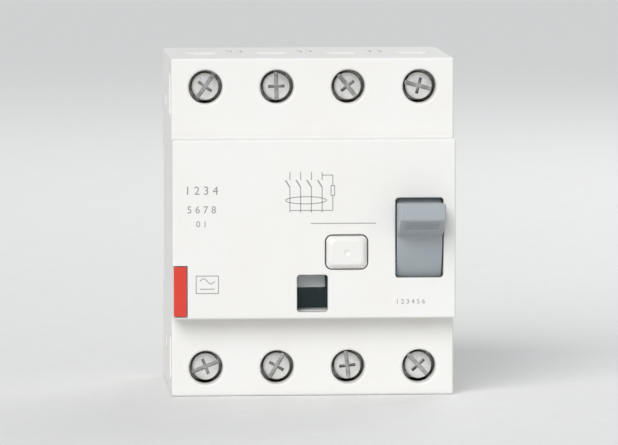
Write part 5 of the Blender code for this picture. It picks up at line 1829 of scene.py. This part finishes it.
@dataclass
class FacePrint:
    """The grey print on the front: a plain circuit drawing, a wave mark and pole numbers.

    A row of digits is its text, its place in (X, Z) and its height.
    """

    sizes: Mouldings
    proud: float = 0.03
    sunk: float = 0.12
    fine: float = 0.2
    bold: float = 0.32
    merge: float = 1e-4
    poles: int = 4
    circuit_left: float = -6.2
    circuit_low: float = 4.3
    pole_pitch: float = 2.7
    circuit_height: float = 10.2
    blade: Point2 = (0.62, 0.80)
    blade_lean: float = 0.42
    ring_height: float = 0.3
    ring_half: float = 0.9
    ring_past: float = 1.1
    branch_top: float = 0.92
    resistor: Point2 = (0.42, 0.66)
    resistor_half: float = 0.45
    branch_foot: float = 0.5
    rule: tuple[Point2, Point2] = ((-1.0, 1.5), (15.5, 1.5))
    wave_place: Point2 = (-27.0, -13.8)
    wave_size: Point2 = (5.6, 4.4)
    wave_span: float = 0.66
    wave_lift: float = 0.2
    wave_swing: float = 0.15
    wave_drop: float = 0.25
    rows: tuple[tuple[str, Point2, float], ...] = (
        ("1 2 3 4", (-28.4, 9.8), 3.0), ("5 6 7 8", (-28.4, 5.0), 2.6), ("0 1", (-28.4, 1.4), 2.2),
        ("1 2 3 4 5 6", (24.2, -18.4), 1.7),
    )
    sketch: Sketch = field(default_factory=Sketch)

    def line(self, start: Point2, end: Point2, width: float) -> None:
        """Print a straight stroke.

        Args:
            start: its first (X, Z).
            end: its last (X, Z).
            width: its thickness.
        """
        along = (Vector(end) - Vector(start)).normalized()
        aside = Vector((-along.y, along.x)) * width / 2
        corners = [Vector(start) - aside, Vector(end) - aside, Vector(end) + aside, Vector(start) + aside]
        outline = [(corner.x, corner.y) for corner in corners]
        self.sketch.prism(outline, Axis.Y, self.sizes.nose - self.proud, self.sizes.nose + self.sunk)

    def strokes(self, points: Outline) -> None:
        """Print a chain of fine strokes."""
        for start, end in zip(points, points[1:]):
            self.line(start, end, self.fine)

    def frame(self, low: Point2, high: Point2) -> None:
        """Print an empty rectangle."""
        self.strokes([low, (high[0], low[1]), high, (low[0], high[1]), low])

    def oval(self, centre: Point2, half_width: float, half_height: float) -> None:
        """Print an empty oval."""
        angles = [2 * math.pi * index / 32 for index in range(33)]
        self.strokes([(centre[0] + half_width * math.cos(angle), centre[1] + half_height * math.sin(angle))
                      for angle in angles])

    def digits(self, text: str, centre: Point2, size: float) -> None:
        """Print plain numbers.

        Args:
            text: the digits.
            centre: the middle of the row in (X, Z).
            size: height of the row.
        """
        curve = bpy.data.curves.new("digits", "FONT")
        curve.body = text
        curve.size = size
        curve.align_x = "CENTER"
        curve.align_y = "CENTER"
        curve.resolution_u = 3
        curve.extrude = (self.proud + self.sunk) / 2
        obj = bpy.data.objects.new("digits", curve)
        bpy.context.scene.collection.objects.link(obj)
        mesh = bpy.data.meshes.new_from_object(obj.evaluated_get(bpy.context.evaluated_depsgraph_get()))
        merged = bmesh.new()
        merged.from_mesh(mesh)
        bmesh.ops.remove_doubles(merged, verts=merged.verts[:], dist=self.merge)
        merged.to_mesh(mesh)
        merged.free()
        middle = self.sizes.nose + (self.sunk - self.proud) / 2
        place = Matrix.Translation((centre[0], middle, centre[1]))
        mesh.transform(place @ Matrix.Rotation(math.pi / 2, 4, "X"))
        self.sketch.bm.from_mesh(mesh)
        bpy.data.objects.remove(obj)
        bpy.data.curves.remove(curve)
        bpy.data.meshes.remove(mesh)

    def circuit(self) -> None:
        """Print four switched poles through a ring, with the test branch."""
        left, low, pitch, height = self.circuit_left, self.circuit_low, self.pole_pitch, self.circuit_height
        foot, head = (low + height * share for share in self.blade)
        for pole in range(self.poles):
            x = left + pole * pitch
            self.line((x, low), (x, foot), self.fine)
            self.line((x, foot), (x - pitch * self.blade_lean, head), self.bold)
            self.line((x, head), (x, low + height), self.fine)
        right = left + 3 * pitch
        self.oval((left + 1.5 * pitch, low + height * self.ring_height), 1.5 * pitch + self.ring_past,
                  self.ring_half)
        branch = right + pitch
        start = low + height * self.branch_top
        bottom, top = (low + height * share for share in self.resistor)
        self.strokes([(right, start), (branch, start), (branch, top)])
        self.frame((branch - self.resistor_half, bottom), (branch + self.resistor_half, top))
        self.strokes([(branch, bottom), (branch, low + self.branch_foot), (left, low + self.branch_foot)])

    def wave(self) -> None:
        """Print a frame with a wave over a straight stroke."""
        x, z = self.wave_place
        width, height = self.wave_size
        self.frame((x - width / 2, z - height / 2), (x + width / 2, z + height / 2))
        middle = z + height * self.wave_lift
        swing = height * self.wave_swing
        points = []
        for index in range(17):
            share = index / 16
            points.append((x + (share - 0.5) * width * self.wave_span,
                           middle + swing * math.sin(2 * math.pi * share)))
        self.strokes(points)
        reach = width * self.wave_span / 2
        foot = z - height * self.wave_drop
        self.line((x - reach, foot), (x + reach, foot), self.fine)

    def build(self) -> None:
        """Print the whole face."""
        self.circuit()
        self.line(*self.rule, self.fine)
        self.wave()
        for text, centre, size in self.rows:
            self.digits(text, centre, size)
        Workpiece("face_print", self.sketch).seat(Slot.LEVER, BODY_OF["front_cover"], material=FINISHES.ink)


@dataclass
class InnerPieces:
    """The pieces that keep the frame's own meshes and only get a finish."""

    edge: float = 0.12
    sharp: float = 40.0

    def build(self, taken: set[str]) -> None:
        """Give every node that no piece stands for its finish and softened edges.

        Args:
            taken: the nodes that have a piece of their own.
        """
        for name in frame["nodes"]:
            if name in taken:
                continue
            slot = Slot(SLOT_OF[name])
            obj = bpy.data.objects[name]
            for place in obj.material_slots:
                place.material = FINISHES[slot]
            bevel = obj.modifiers.new("soft_edges", "BEVEL")
            bevel.width = self.edge * MM
            bevel.segments = 2
            bevel.limit_method = "ANGLE"
            bevel.angle_limit = math.radians(self.sharp)
            LOG.info("%s: finished in %s", name, slot.value)


@dataclass
class Studio:
    """The floor, the lights and the camera, in metres.

    A soft light is its name, place, power in watts and side.
    """

    azimuth: float = -4.0
    elevation: float = 5.0
    distance: float = 1.4
    aim: Point3 = (0.0, -0.03, 0.0)
    lens: float = 320.0
    sensor: float = 36.0
    clip: Point2 = (0.01, 20.0)
    floor_size: float = 16.0
    floor_thick: float = 0.02
    air: float = 0.47
    air_colour: Colour = (0.92, 0.94, 0.97)
    key_place: Point3 = (-0.50, -0.90, 0.72)
    key_power: float = 2.1
    key_spread: float = 40.0
    soft_lights: tuple[tuple[str, Point3, float, float], ...] = (
        ("fill", (0.75, -0.65, 0.30), 1.0, 0.7), ("rim", (0.35, 0.70, 0.65), 2.0, 0.5),
    )

    def build(self) -> None:
        """Set up the studio round the device."""
        self.floor()
        key = self.lamp("key", "SUN", self.key_place, self.key_power)
        key.angle = math.radians(self.key_spread)
        for name, place, power, side in self.soft_lights:
            self.lamp(name, "AREA", place, power).size = side
        world = bpy.data.worlds.new("studio_air")
        bpy.context.scene.world = world
        world.use_nodes = True
        background = world.node_tree.nodes["Background"]
        background.inputs["Color"].default_value = (*self.air_colour, 1.0)
        background.inputs["Strength"].default_value = self.air
        self.camera()

    def floor(self) -> None:
        """Lay the floor under the device."""
        half = self.floor_size / 2 / MM
        low = CAD_BOX[0][2] / MM
        under = low - self.floor_thick / MM
        floor = Workpiece("floor", Sketch().box((-half, -half, under), (half, half, low)))
        floor.obj.data.materials.append(FINISHES.floor)

    def lamp(self, name: str, kind: str, place: Point3, power: float) -> bpy.types.Light:
        """Hang a light that faces the device.

        Args:
            name: the light's name.
            kind: Blender's kind of light.
            place: where it hangs; for a sun, the direction that it comes from.
            power: its strength, in watts unless it is a sun.

        Returns:
            The light's data, for its size.
        """
        data = bpy.data.lights.new(name, kind)
        data.energy = power
        obj = bpy.data.objects.new(name, data)
        obj.location = place
        obj.rotation_euler = (-Vector(place)).to_track_quat("-Z", "Y").to_euler()
        bpy.context.scene.collection.objects.link(obj)
        return data

    def camera(self) -> None:
        """Set the camera in front, a little to the left and above."""
        azimuth = math.radians(self.azimuth)
        elevation = math.radians(self.elevation)
        back = Vector((math.sin(azimuth) * math.cos(elevation), -math.cos(azimuth) * math.cos(elevation),
                       math.sin(elevation)))
        data = bpy.data.cameras.new("camera")
        data.lens = self.lens
        data.sensor_width = self.sensor
        data.clip_start, data.clip_end = self.clip
        obj = bpy.data.objects.new("camera", data)
        obj.location = Vector(self.aim) + back * self.distance
        obj.rotation_euler = (-back).to_track_quat("-Z", "Y").to_euler()
        bpy.context.scene.collection.objects.link(obj)
        bpy.context.scene.camera = obj
        bpy.context.scene.view_settings.view_transform = "Standard"


def main() -> None:
    """Dress the whole device."""
    logging.basicConfig(level=logging.INFO, format="%(name)s: %(message)s")
    sizes = Mouldings()
    Studio().build()
    for group in (FrontCover(sizes), RearHousing(sizes), FacePrint(sizes), Lever(), TestButton(), Indicator(),
                  TerminalScrews(), ClampCages(), RailClip(), HousingScrews(), Windings()):
        group.build()
    InnerPieces().build({node for obj in bpy.data.objects for node in obj.get("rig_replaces", [])})


if __name__ == "__main__":
    main()
